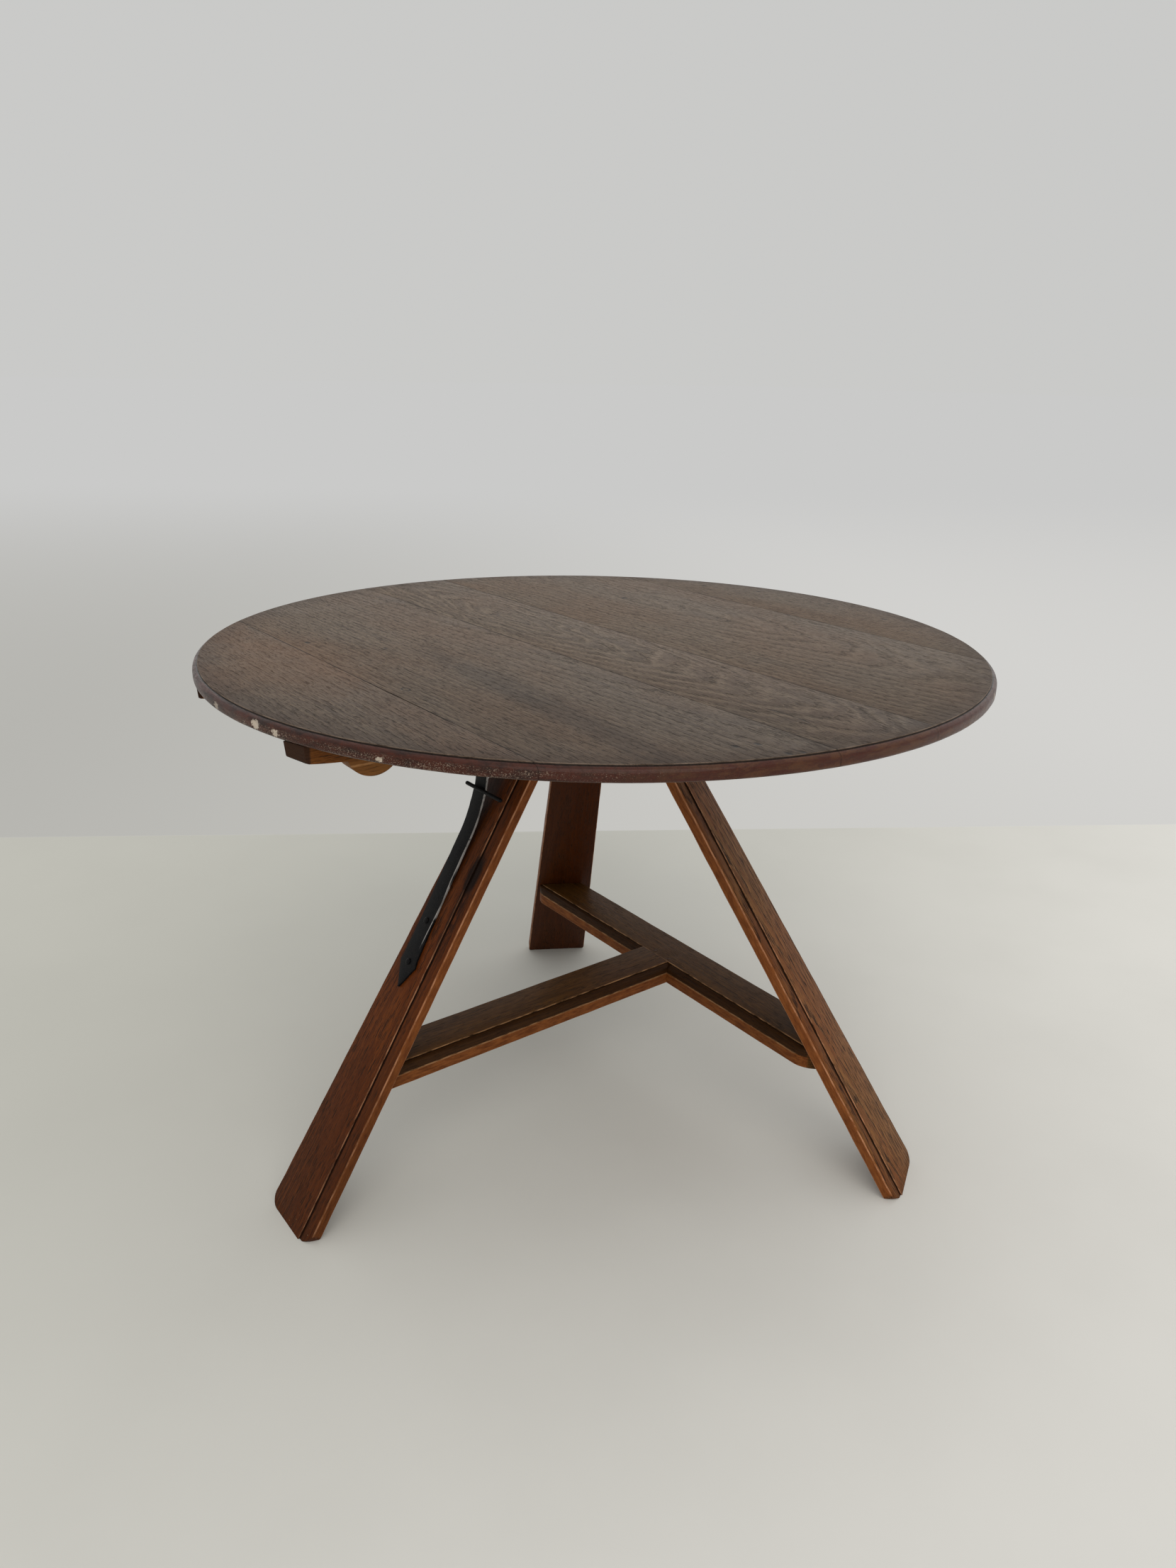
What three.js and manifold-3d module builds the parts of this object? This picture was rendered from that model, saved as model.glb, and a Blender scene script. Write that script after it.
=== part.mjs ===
// Tilt-top tripod table in oak: a round boarded top on two battens, pivoting on a head plate
// that stands on three splayed plank legs, held down by an iron spring latch on one leg.
// Millimetres, +Z up, origin on the floor under the middle of the top.
// The boards and the cross stretcher run along X, the battens and the latch leg's stretcher along Y.

import * as THREE from 'three';
import { mergeVertices } from 'three/addons/utils/BufferGeometryUtils.js';
import Module from 'manifold-3d';

const wasm = await Module();
wasm.setup();

// Driving dimensions

const tableHeight = 737;
const topRadius = 525;
const topThickness = 18;
const gap = 0.3; // between pieces that touch
const runningGap = 1.2; // between the battens and the head plate

const boardJoints = [-359, -89, 60, 360]; // y of the joints between the five boards
const rimStep = { inset: 6, drop: 2, ovoloDrop: 7, footRadius: 4 };

// Depths hang below the boards: at the rim, at the nose in front of the lobe, and elsewhere.
const batten = { centreX: 147.3, width: 30.4, depth: 32, endDepth: 13.5, noseDepth: 25.5, noseY: -497,
  taperY: 415, shoulderY: 485, rimDrop: 2, rimInset: 8 };
const lobe = { y: -418, radius: 33, centreDepth: 14.4 };

const pivot = { y: 155, radius: 8, socketDepth: 45 };
const headPlate = { frontY: -132, thickness: 34 };

const leg = { footRadius: 501.5, lean: THREE.MathUtils.degToRad(32.35), footWidth: 110, taper: 0.0494,
  thickness: 19, cornerRadius: 20, tenonWidth: 46, tenonFrom: 700 };
const legAzimuths = { latch: -90, right: 30, left: 150 }; // degrees about Z

const stretcher = { width: 71, bottomZ: 174, thickness: 31, tenonHeight: 14, tenonInLeg: 12 };
const crossY = 166;
const crossEnd = { halfLength: 345, cornerRadius: 42 };
const crossTenonWidth = 38;
const stemTenonWidth = 40;
const stemTenonLength = 32;
const pegRadius = 3.5;
const pegLength = 27;
const pegPlaces = [[-12, 147], [22, 147]];

const legMould = { width: 19, step: 2, drop: 4 };
const stretcherMould = { width: 9, step: 2, drop: 12 };

const wedge = { width: 40, length: 24, topThickness: 4, tipThickness: 1, topAlong: 868 };

// Across and along the latch leg. The blade rises from [along, out] points to a height below the
// top, then through [back, share of the height] points to its tip.
const strap = { thickness: 3.2, tipAcross: -9.4, tipAlong: 350, shoulderAcross: -12.4, shoulderAlong: 391,
  shoulderLength: 8, shoulderHalf: 18.8, endAlong: 472, shankHalf: 14.4, centreAcross: -18 };
const blade = { across: -20, half: 13.6, low: [[473, 0], [540, 2.6], [591, 5.4], [632, 14.4], [651, 21]],
  high: [[4.5, 0.3], [6.5, 0.65], [7, 1]], sections: 26 };
const latchHook = { topZ: 709, underZ: 702.3, reach: 11.5, ramp: 4.5 };
const fingerBar = { radius: 2.8, along: 638, from: [-45, 26.1], to: [35.7, 19.9] }; // [across, out]
const staple = { barZ: 699, y: -157.5, halfSpan: 20, bend: 6, wireRadius: 2.4, driven: 10 };

const screw = { shank: 2.2, head: 4.2, headHeight: 2.6, recess: 6, bite: 12 };
const strapScrew = { shank: 2, head: 4.6, headHeight: 2.2, bite: 12 };
const battenScrewYs = [-478, -224, -14, 222, 432]; // one in each board
const strapScrewPlaces = [[-12.4, 386], [-17, 446]]; // [across, along]

const undersideZ = tableHeight - topThickness;
const plateTopZ = undersideZ - gap - 0.1;
const tenonTopZ = plateTopZ - 0.2;
const pivotZ = plateTopZ - headPlate.thickness / 2;
const plateBottomZ = plateTopZ - headPlate.thickness;
const plateHalfX = batten.centreX - batten.width / 2 - runningGap;
const stretcherTopZ = stretcher.bottomZ + stretcher.thickness;
const stretcherMidZ = stretcher.bottomZ + stretcher.thickness / 2;
const crossFrontY = crossY - stretcher.width / 2;
const far = 900; // longer than any piece
const clear = 5; // how far a cutter stands out of the wood

// Finishes

const finishes = {
  topOak: { color: 0x6f6257, roughness: 0.62, metalness: 0 },
  legOak: { color: 0x5e3a1f, roughness: 0.5, metalness: 0 },
  railOak: { color: 0x55402f, roughness: 0.55, metalness: 0 },
  underOak: { color: 0x6a4526, roughness: 0.65, metalness: 0 },
  blackIron: { color: 0x17161a, roughness: 0.45, metalness: 0.8 },
  steel: { color: 0x77706a, roughness: 0.45, metalness: 0.9 },
};

const table = new THREE.Group();

function addPiece(name, geometry, finish) {
  const mesh = new THREE.Mesh(geometry, new THREE.MeshStandardMaterial(finishes[finish]));
  mesh.name = name;
  table.add(mesh);
}

// Solids

const identity = new THREE.Matrix4();
const alongX = new THREE.Matrix4().makeBasis(axis(0, 1, 0), axis(0, 0, 1), axis(1, 0, 0));

function axis(x, y, z) {
  return new THREE.Vector3(x, y, z);
}

function solidOf(geometry, matrix = identity) {
  const moved = geometry.clone().applyMatrix4(matrix);
  moved.deleteAttribute('normal');
  moved.deleteAttribute('uv');
  const merged = mergeVertices(moved, 1e-4);
  const triangles = [];
  for (let i = 0; i < merged.index.count; i += 3) {
    const corners = [0, 1, 2].map((k) => merged.index.getX(i + k));
    if (new Set(corners).size === 3) triangles.push(...corners);
  }
  const vertProperties = Float32Array.from(merged.attributes.position.array);
  const triVerts = Uint32Array.from(triangles);
  return new wasm.Manifold(new wasm.Mesh({ numProp: 3, vertProperties, triVerts }));
}

function geometryOf(solid) {
  const { vertProperties, triVerts } = solid.getMesh();
  const geometry = new THREE.BufferGeometry();
  geometry.setAttribute('position', new THREE.BufferAttribute(vertProperties, 3));
  geometry.setIndex(new THREE.BufferAttribute(triVerts, 1));
  geometry.computeVertexNormals();
  return geometry;
}

function boxSolid(low, high, matrix = identity) {
  const geometry = new THREE.BoxGeometry(high[0] - low[0], high[1] - low[1], high[2] - low[2]);
  geometry.translate((high[0] + low[0]) / 2, (high[1] + low[1]) / 2, (high[2] + low[2]) / 2);
  return solidOf(geometry, matrix);
}

function extruded(shape, depth, curveSegments = 8) {
  return new THREE.ExtrudeGeometry(shape, { depth, bevelEnabled: false, curveSegments });
}

// A cylinder of the given radius from one point to another.
function rodGeometry(radius, from, to, sides = 16) {
  const length = from.distanceTo(to);
  const geometry = new THREE.CylinderGeometry(radius, radius, length, sides);
  geometry.translate(0, length / 2, 0);
  const turn = new THREE.Quaternion().setFromUnitVectors(axis(0, 1, 0), to.clone().sub(from).normalize());
  return geometry.applyQuaternion(turn).translate(from.x, from.y, from.z);
}

// A headed screw standing on the origin: the shank goes up +Z from the underside of its head.
function screwGeometry(size, shankLength) {
  const profile = [[0, -size.headHeight], [size.head * 0.55, -size.headHeight],
    [size.head, -size.headHeight * 0.45], [size.head, 0], [size.shank, 0],
    [size.shank, shankLength - size.shank * 2], [0, shankLength]];
  const points = profile.map(([x, y]) => new THREE.Vector2(x, y));
  return new THREE.LatheGeometry(points, 14).rotateX(Math.PI / 2);
}

// The wood that a thumbnail moulding takes off an arris: a small step down from the face,
// then a convex sweep out to the side. x runs in from the side, y down from the face.
function mouldingShape({ width, step, drop }) {
  const shape = new THREE.Shape();
  const steps = 5;
  shape.moveTo(width, -clear);
  shape.lineTo(width, step);
  for (let i = 1; i <= steps; i++) {
    const turn = (i / steps) * Math.PI / 2;
    shape.lineTo(width * (1 - Math.sin(turn)), step + drop * (1 - Math.cos(turn)));
  }
  shape.lineTo(-clear, step + drop);
  shape.lineTo(-clear, -clear);
  shape.closePath();
  return shape;
}

function mouldingCutter(size, from, to, inward, down) {
  const along = new THREE.Vector3().crossVectors(inward, down);
  const start = along.dot(to.clone().sub(from)) > 0 ? from : to;
  const matrix = new THREE.Matrix4().makeBasis(inward, down, along).setPosition(start);
  return solidOf(extruded(mouldingShape(size), from.distanceTo(to)), matrix);
}

// Top: five boards cut from one moulded disc

function topDisc() {
  const { inset, drop, ovoloDrop, footRadius } = rimStep;
  const footY = undersideZ + footRadius;
  const ovoloY = tableHeight - drop - ovoloDrop;
  const points = [[0, undersideZ], [topRadius - footRadius, undersideZ]];
  for (const turn of [Math.PI / 4, Math.PI / 2]) {
    points.push([topRadius - footRadius * (1 - Math.sin(turn)), footY - footRadius * Math.cos(turn)]);
  }
  for (let i = 0; i <= 4; i++) {
    const turn = (i / 4) * Math.PI / 2;
    points.push([topRadius - inset * (1 - Math.cos(turn)), ovoloY + ovoloDrop * Math.sin(turn)]);
  }
  points.push([topRadius - inset, tableHeight], [0, tableHeight]);
  const profile = points.map(([x, y]) => new THREE.Vector2(x, y));
  return solidOf(new THREE.LatheGeometry(profile, 128).rotateX(Math.PI / 2));
}

// A batten seen from the side: it tapers to the rim at both ends, and a round lobe breaks its
// lower edge near the -Y end.
function battenOutline() {
  const { noseY, noseDepth, endDepth, depth, taperY, shoulderY } = batten;
  const shape = new THREE.Shape();
  const z = (drop) => undersideZ - gap - drop;
  const lobeChord = Math.sqrt(lobe.radius ** 2 - (noseDepth - lobe.centreDepth) ** 2);
  shape.moveTo(-topRadius, z(0));
  shape.lineTo(-topRadius, z(endDepth));
  shape.quadraticCurveTo(noseY, z(noseDepth - 4), lobe.y - lobeChord, z(noseDepth));
  const first = Math.PI + Math.asin((noseDepth - lobe.centreDepth) / lobe.radius);
  const last = 2 * Math.PI - Math.asin((depth - lobe.centreDepth) / lobe.radius);
  const steps = 12;
  for (let i = 1; i <= steps; i++) {
    const turn = first + (last - first) * (i / steps);
    shape.lineTo(lobe.y + lobe.radius * Math.cos(turn), z(lobe.centreDepth - lobe.radius * Math.sin(turn)));
  }
  shape.lineTo(taperY, z(depth));
  shape.quadraticCurveTo(shoulderY, z(depth - 4), topRadius, z(endDepth));
  shape.lineTo(topRadius, z(0));
  shape.closePath();
  return shape;
}

// How deep a batten hangs below the boards, about, at a place along it.
function battenDepthAt(y) {
  if (y < lobe.y) return batten.noseDepth - 5;
  return y > batten.taperY ? batten.depth - 1 : batten.depth;
}

function battenSolid(side) {
  const matrix = alongX.clone().setPosition(side * batten.centreX - batten.width / 2, 0, 0);
  const blank = solidOf(extruded(battenOutline(), batten.width), matrix);
  const height = 60;
  const trim = new THREE.CylinderGeometry(topRadius - batten.rimDrop, topRadius - batten.rimInset, height, 128);
  trim.rotateX(Math.PI / 2).translate(0, 0, undersideZ - height / 2);
  return blank.intersect(solidOf(trim));
}

const battenSides = { left: -1, right: 1 };
const screwHoles = [];
for (const [name, side] of Object.entries(battenSides)) {
  let wood = battenSolid(side);
  battenScrewYs.forEach((y, index) => {
    const x = side * batten.centreX;
    const headZ = undersideZ - battenDepthAt(y) + screw.recess;
    const length = undersideZ + screw.bite - headZ;
    const geometry = screwGeometry(screw, length).translate(x, y, headZ);
    addPiece(`batten_screw_${name}_${index + 1}`, geometry, 'steel');
    const bore = rodGeometry(screw.shank + gap, axis(x, y, headZ - 1), axis(x, y, headZ + length + gap), 10);
    const sink = rodGeometry(screw.head + gap, axis(x, y, headZ - batten.depth), axis(x, y, headZ + gap), 12);
    screwHoles.push(solidOf(bore));
    wood = wood.subtract(solidOf(bore)).subtract(solidOf(sink));
  });
  const outerX = batten.centreX + batten.width / 2;
  const onPivot = (x) => axis(side * x, pivot.y, pivotZ);
  const hole = rodGeometry(pivot.radius + gap, onPivot(plateHalfX - clear), onPivot(outerX + clear), 24);
  addPiece(`batten_${name}`, geometryOf(wood.subtract(solidOf(hole))), 'underOak');
  const pin = rodGeometry(pivot.radius, onPivot(plateHalfX - pivot.socketDepth), onPivot(outerX), 24);
  addPiece(`pivot_pin_${name}`, pin, 'underOak');
}

// Keeper staple, driven up into the middle board behind the latch hook

function stapleGeometry() {
  const { barZ: low, bend, halfSpan } = staple;
  const top = undersideZ + staple.driven;
  const path = new THREE.CurvePath();
  const at = (side, z) => axis(blade.across + side * halfSpan, staple.y, z);
  const inside = (side) => axis(blade.across + side * (halfSpan - bend), staple.y, low);
  path.add(new THREE.LineCurve3(at(-1, top), at(-1, low + bend)));
  path.add(new THREE.QuadraticBezierCurve3(at(-1, low + bend), at(-1, low), inside(-1)));
  path.add(new THREE.LineCurve3(inside(-1), inside(1)));
  path.add(new THREE.QuadraticBezierCurve3(inside(1), at(1, low), at(1, low + bend)));
  path.add(new THREE.LineCurve3(at(1, low + bend), at(1, top)));
  const section = new THREE.Shape().absarc(0, 0, staple.wireRadius, 0, Math.PI * 2);
  const settings = { steps: 40, extrudePath: path, bevelEnabled: false, curveSegments: 5 };
  return new THREE.ExtrudeGeometry(section, settings);
}

addPiece('keeper_staple', stapleGeometry(), 'blackIron');
const stapleHoles = [-1, 1].map((side) => {
  const foot = axis(blade.across + side * staple.halfSpan, staple.y, undersideZ - clear);
  const end = foot.clone().setZ(undersideZ + staple.driven + gap);
  return solidOf(rodGeometry(staple.wireRadius + gap, foot, end, 12));
});

// Boards

const disc = topDisc();
const boardEdges = [-far, ...boardJoints, far];
for (let i = 0; i < boardEdges.length - 1; i++) {
  const low = [-far, boardEdges[i] + gap / 2, 0];
  const high = [far, boardEdges[i + 1] - gap / 2, far];
  let board = disc.intersect(boxSolid(low, high));
  for (const hole of [...screwHoles, ...stapleHoles]) board = board.subtract(hole);
  addPiece(`top_board_${i + 1}`, geometryOf(board), 'topOak');
}

// Legs: each is drawn flat in its own frame (across, along, out) and then leaned in its azimuth

function legMatrix(azimuth) {
  const turn = THREE.MathUtils.degToRad(azimuth);
  const radial = axis(Math.cos(turn), Math.sin(turn), 0);
  const across = axis(-Math.sin(turn), Math.cos(turn), 0);
  const up = axis(0, 0, Math.cos(leg.lean)).addScaledVector(radial, -Math.sin(leg.lean));
  const out = axis(0, 0, Math.sin(leg.lean)).addScaledVector(radial, Math.cos(leg.lean));
  return new THREE.Matrix4().makeBasis(across, up, out).setPosition(radial.multiplyScalar(leg.footRadius));
}

function legHalfWidth(along) {
  return (leg.footWidth - leg.taper * along) / 2;
}

function legOutline() {
  const half = legHalfWidth(0);
  const r = leg.cornerRadius;
  const shape = new THREE.Shape();
  shape.moveTo(r - half, 0);
  shape.lineTo(half - r, 0);
  shape.absarc(half - r, r, r, -Math.PI / 2, 0);
  shape.lineTo(legHalfWidth(far), far);
  shape.lineTo(-legHalfWidth(far), far);
  shape.lineTo(-half, r);
  shape.absarc(r - half, r, r, Math.PI, Math.PI * 1.5);
  return shape;
}

// Everything above a leg's outer face, less a depth, seen as a block in that leg's frame.
function outsideOf(azimuth, depth) {
  return boxSolid([-far, -far, -depth], [far, 2 * far, far], legMatrix(azimuth));
}

const aboveFloor = boxSolid([-far, -far, 0], [far, far, far]);
const belowPlate = boxSolid([-far, -far, -far], [far, far, plateBottomZ - gap]);
const belowPlateTop = boxSolid([-far, -far, -far], [far, far, tenonTopZ]);
const legSlab = new THREE.Matrix4().makeTranslation(0, 0, -leg.thickness);

function legTenon(azimuth, spare) {
  const half = leg.tenonWidth / 2 + spare;
  const low = [-half, leg.tenonFrom, -leg.thickness - spare];
  return boxSolid(low, [half, far, spare], legMatrix(azimuth)).intersect(belowPlateTop);
}

// The wedge stands in a cut across the tenon's top, midway through its thickness.
function wedgeSolid(azimuth, spare) {
  const top = wedge.topAlong;
  const shape = new THREE.Shape();
  const half = wedge.topThickness / 2 + spare;
  const tip = wedge.tipThickness / 2 + spare;
  const tail = top - wedge.length - spare;
  shape.moveTo(-half, top);
  shape.lineTo(-tip, tail);
  shape.lineTo(tip, tail);
  shape.lineTo(half, top);
  const width = wedge.width + 2 * spare;
  const edgeOn = new THREE.Matrix4().makeBasis(axis(0, 0, -1), axis(0, 1, 0), axis(1, 0, 0));
  const shift = new THREE.Matrix4().makeTranslation(leg.thickness / 2, 0, -width / 2);
  return solidOf(extruded(shape, width), legMatrix(azimuth).multiply(edgeOn).multiply(shift));
}

function legSolid(azimuth, mouldSide) {
  const matrix = legMatrix(azimuth);
  const blank = solidOf(extruded(legOutline(), leg.thickness, 6), matrix.clone().multiply(legSlab));
  const slope = Math.atan(leg.taper / 2);
  const inward = axis(-mouldSide * Math.cos(slope), -Math.sin(slope), 0);
  const edge = (along) => axis(mouldSide * legHalfWidth(along), along, 0);
  const toWorld = new THREE.Matrix3().setFromMatrix4(matrix);
  const cutter = mouldingCutter(legMould, edge(-clear).applyMatrix4(matrix), edge(far).applyMatrix4(matrix),
    inward.applyMatrix3(toWorld), axis(0, 0, -1).applyMatrix3(toWorld));
  const moulded = blank.subtract(cutter).intersect(aboveFloor).intersect(belowPlate);
  return moulded.add(legTenon(azimuth, 0)).subtract(wedgeSolid(azimuth, gap));
}

// Stretchers

function crossTenons(spare) {
  const half = crossTenonWidth / 2 + spare;
  const tall = stretcher.tenonHeight / 2 + spare;
  let bar = boxSolid([-far / 2, crossY - half, stretcherMidZ - tall],
    [far / 2, crossY + half, stretcherMidZ + tall]);
  for (const azimuth of [legAzimuths.right, legAzimuths.left]) {
    bar = bar.subtract(outsideOf(azimuth, leg.thickness - stretcher.tenonInLeg - spare));
  }
  return bar;
}

function stemTenons(spare) {
  const half = stemTenonWidth / 2 + spare;
  const tall = stretcher.tenonHeight / 2 + spare;
  const endY = crossFrontY + stretcherMould.width + stemTenonLength + spare;
  const bar = boxSolid([-half, -far / 2, stretcherMidZ - tall], [half, endY, stretcherMidZ + tall]);
  return bar.subtract(outsideOf(legAzimuths.latch, leg.thickness - stretcher.tenonInLeg - spare));
}

function crossStretcher() {
  const { halfLength, cornerRadius } = crossEnd;
  const plan = new THREE.Shape();
  const back = crossY + stretcher.width / 2;
  plan.moveTo(-halfLength, back);
  plan.absarc(cornerRadius - halfLength, crossFrontY + cornerRadius, cornerRadius, Math.PI, Math.PI * 1.5);
  plan.absarc(halfLength - cornerRadius, crossFrontY + cornerRadius, cornerRadius, Math.PI * 1.5, Math.PI * 2);
  plan.lineTo(halfLength, back);
  plan.closePath();
  const lift = new THREE.Matrix4().makeTranslation(0, 0, stretcher.bottomZ);
  let bar = solidOf(extruded(plan, stretcher.thickness, 8), lift);
  const edge = (x) => axis(x, crossFrontY, stretcherTopZ);
  const down = axis(0, 0, -1);
  bar = bar.subtract(mouldingCutter(stretcherMould, edge(-far / 2), edge(far / 2), axis(0, 1, 0), down));
  for (const azimuth of [legAzimuths.right, legAzimuths.left]) {
    bar = bar.subtract(outsideOf(azimuth, leg.thickness + gap));
  }
  const half = stretcher.width / 2 + gap;
  const housing = boxSolid([-half, crossFrontY - clear, stretcher.bottomZ - clear],
    [half, crossFrontY + stretcherMould.width + gap, stretcherTopZ + clear]);
  return bar.subtract(housing).add(crossTenons(0)).subtract(stemTenons(gap));
}

function latchStretcher() {
  const half = stretcher.width / 2;
  const endY = crossFrontY + stretcherMould.width;
  const bar = boxSolid([-half, -far / 2, stretcher.bottomZ], [half, endY, stretcherTopZ]);
  const edge = (y) => axis(half, y, stretcherTopZ);
  const down = axis(0, 0, -1);
  const cutter = mouldingCutter(stretcherMould, edge(-far / 2), edge(crossFrontY), axis(-1, 0, 0), down);
  return bar.subtract(cutter).subtract(outsideOf(legAzimuths.latch, leg.thickness + gap)).add(stemTenons(0));
}

let cross = crossStretcher();
let stem = latchStretcher();
pegPlaces.forEach(([x, y], index) => {
  const low = stretcherTopZ - pegLength;
  const peg = rodGeometry(pegRadius, axis(x, y, low), axis(x, y, stretcherTopZ), 12);
  const hole = rodGeometry(pegRadius + gap, axis(x, y, low - gap), axis(x, y, stretcherTopZ + clear), 12);
  addPiece(`stretcher_peg_${index + 1}`, peg, 'railOak');
  cross = cross.subtract(solidOf(hole));
  stem = stem.subtract(solidOf(hole));
});
addPiece('cross_stretcher', geometryOf(cross), 'railOak');
addPiece('latch_stretcher', geometryOf(stem), 'railOak');

// Latch: spear-ended strap foot, spring blade with its hook, finger bar and screws

const latchLegMatrix = legMatrix(legAzimuths.latch);

function onLatchLeg(across, along, out) {
  return axis(across, along, out).applyMatrix4(latchLegMatrix);
}

function strapFootGeometry() {
  const { tipAcross, tipAlong, shoulderAcross, shoulderAlong, shoulderLength, shoulderHalf } = strap;
  const { endAlong, shankHalf, centreAcross } = strap;
  const low = shoulderAlong - shoulderLength;
  const [left, right] = [shoulderAcross - shoulderHalf, shoulderAcross + shoulderHalf];
  const shape = new THREE.Shape();
  shape.moveTo(tipAcross, tipAlong);
  shape.lineTo(right, low);
  shape.quadraticCurveTo(right - 1, shoulderAlong, centreAcross + shankHalf, endAlong);
  shape.lineTo(centreAcross - shankHalf, endAlong);
  shape.quadraticCurveTo(left + 1, shoulderAlong, left, low);
  shape.closePath();
  for (const [across, along] of strapScrewPlaces) {
    shape.holes.push(new THREE.Path().absarc(across, along, strapScrew.shank + gap, 0, Math.PI * 2, true));
  }
  return extruded(shape, strap.thickness, 6).translate(0, 0, gap);
}

addPiece('strap_foot', strapFootGeometry().applyMatrix4(latchLegMatrix), 'blackIron');

let latchLeg = legSolid(legAzimuths.latch, 1).subtract(stemTenons(gap));
strapScrewPlaces.forEach(([across, along], index) => {
  const headOut = strap.thickness + 2 * gap;
  const geometry = screwGeometry(strapScrew, headOut + strapScrew.bite);
  const inward = new THREE.Matrix4().makeRotationX(Math.PI).setPosition(across, along, headOut);
  geometry.applyMatrix4(inward).applyMatrix4(latchLegMatrix);
  addPiece(`strap_screw_${index + 1}`, geometry, 'blackIron');
  const hole = rodGeometry(strapScrew.shank + gap, onLatchLeg(across, along, clear),
    onLatchLeg(across, along, -strapScrew.bite - gap), 10);
  latchLeg = latchLeg.subtract(solidOf(hole));
});

// The blade's middle line, low to high, in the plane across the leg: it lies along the leg,
// bows off it, bends up at the knee and stands nearly upright below the top.
function bladePath() {
  const lift = strap.thickness / 2 + gap;
  const points = blade.low.map(([along, out]) => onLatchLeg(0, along, out + lift));
  const last = points[points.length - 1];
  const rise = latchHook.topZ - last.z;
  for (const [back, share] of blade.high) points.push(axis(0, last.y + back, last.z + rise * share));
  return new THREE.CatmullRomCurve3(points, false, 'centripetal');
}

// The blade with its hook, whose sloped nose lets the staple push it back when the top comes down.
function springBlade() {
  const path = bladePath();
  const half = strap.thickness / 2;
  const outer = [];
  const inner = [];
  for (let i = 0; i <= blade.sections; i++) {
    const point = path.getPointAt(i / blade.sections);
    const along = path.getTangentAt(i / blade.sections);
    outer.push([point.y - along.z * half, point.z + along.y * half]);
    inner.push([point.y + along.z * half, point.z - along.y * half]);
  }
  const { topZ, underZ, reach, ramp } = latchHook;
  const backY = inner[blade.sections][0];
  const hook = [[backY + reach, topZ - ramp], [backY + reach, underZ], [backY, underZ]];
  const bladeSide = inner.slice(0, blade.sections).filter(([, z]) => z < underZ - 1).reverse();
  const shape = new THREE.Shape([...outer, ...hook, ...bladeSide].map(([y, z]) => new THREE.Vector2(y, z)));
  const matrix = alongX.clone().setPosition(blade.across - blade.half, 0, 0);
  return extruded(shape, 2 * blade.half).applyMatrix4(matrix);
}

addPiece('spring_blade', springBlade(), 'blackIron');

function fingerBarGeometry() {
  const ends = [fingerBar.from, fingerBar.to].map(([across, out]) => onLatchLeg(across, fingerBar.along, out));
  const run = ends[1].clone().sub(ends[0]);
  const middle = ends[0].clone().addScaledVector(run, 0.5);
  const geometry = new THREE.CapsuleGeometry(fingerBar.radius, run.length() - 2 * fingerBar.radius, 4, 12);
  const turn = new THREE.Quaternion().setFromUnitVectors(axis(0, 1, 0), run.normalize());
  return geometry.applyQuaternion(turn).translate(middle.x, middle.y, middle.z);
}

addPiece('finger_bar', fingerBarGeometry(), 'blackIron');

// Legs, with the mortises that the stretchers' tenons go into

const rearMortises = crossTenons(gap);
const rightLeg = legSolid(legAzimuths.right, -1).subtract(rearMortises);
const leftLeg = legSolid(legAzimuths.left, 1).subtract(rearMortises);
addPiece('leg_latch_side', geometryOf(latchLeg), 'legOak');
addPiece('leg_right', geometryOf(rightLeg), 'legOak');
addPiece('leg_left', geometryOf(leftLeg), 'legOak');
for (const [name, azimuth] of Object.entries(legAzimuths)) {
  addPiece(`leg_wedge_${name}`, geometryOf(wedgeSolid(azimuth, 0).intersect(belowPlateTop)), 'underOak');
}

// Head plate: lies under the boards, carries the legs' tenons and, at its rounded edge, the pivot pins

function headPlateSolid() {
  const r = headPlate.thickness / 2;
  const side = new THREE.Shape();
  side.moveTo(headPlate.frontY, plateBottomZ);
  side.lineTo(pivot.y, plateBottomZ);
  side.absarc(pivot.y, pivotZ, r, -Math.PI / 2, Math.PI / 2);
  side.lineTo(headPlate.frontY, plateTopZ);
  side.closePath();
  const matrix = alongX.clone().setPosition(-plateHalfX, 0, 0);
  let plate = solidOf(extruded(side, 2 * plateHalfX, 8), matrix);
  for (const azimuth of Object.values(legAzimuths)) plate = plate.subtract(legTenon(azimuth, gap));
  for (const sideX of [-1, 1]) {
    const inner = axis(sideX * (plateHalfX - pivot.socketDepth - gap), pivot.y, pivotZ);
    const outer = axis(sideX * (plateHalfX + clear), pivot.y, pivotZ);
    plate = plate.subtract(solidOf(rodGeometry(pivot.radius + gap, inner, outer, 24)));
  }
  return plate;
}

addPiece('head_plate', geometryOf(headPlateSolid()), 'underOak');

export default table;
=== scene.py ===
import math

import bmesh
import bpy
from mathutils import Matrix, Vector, noise


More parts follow.
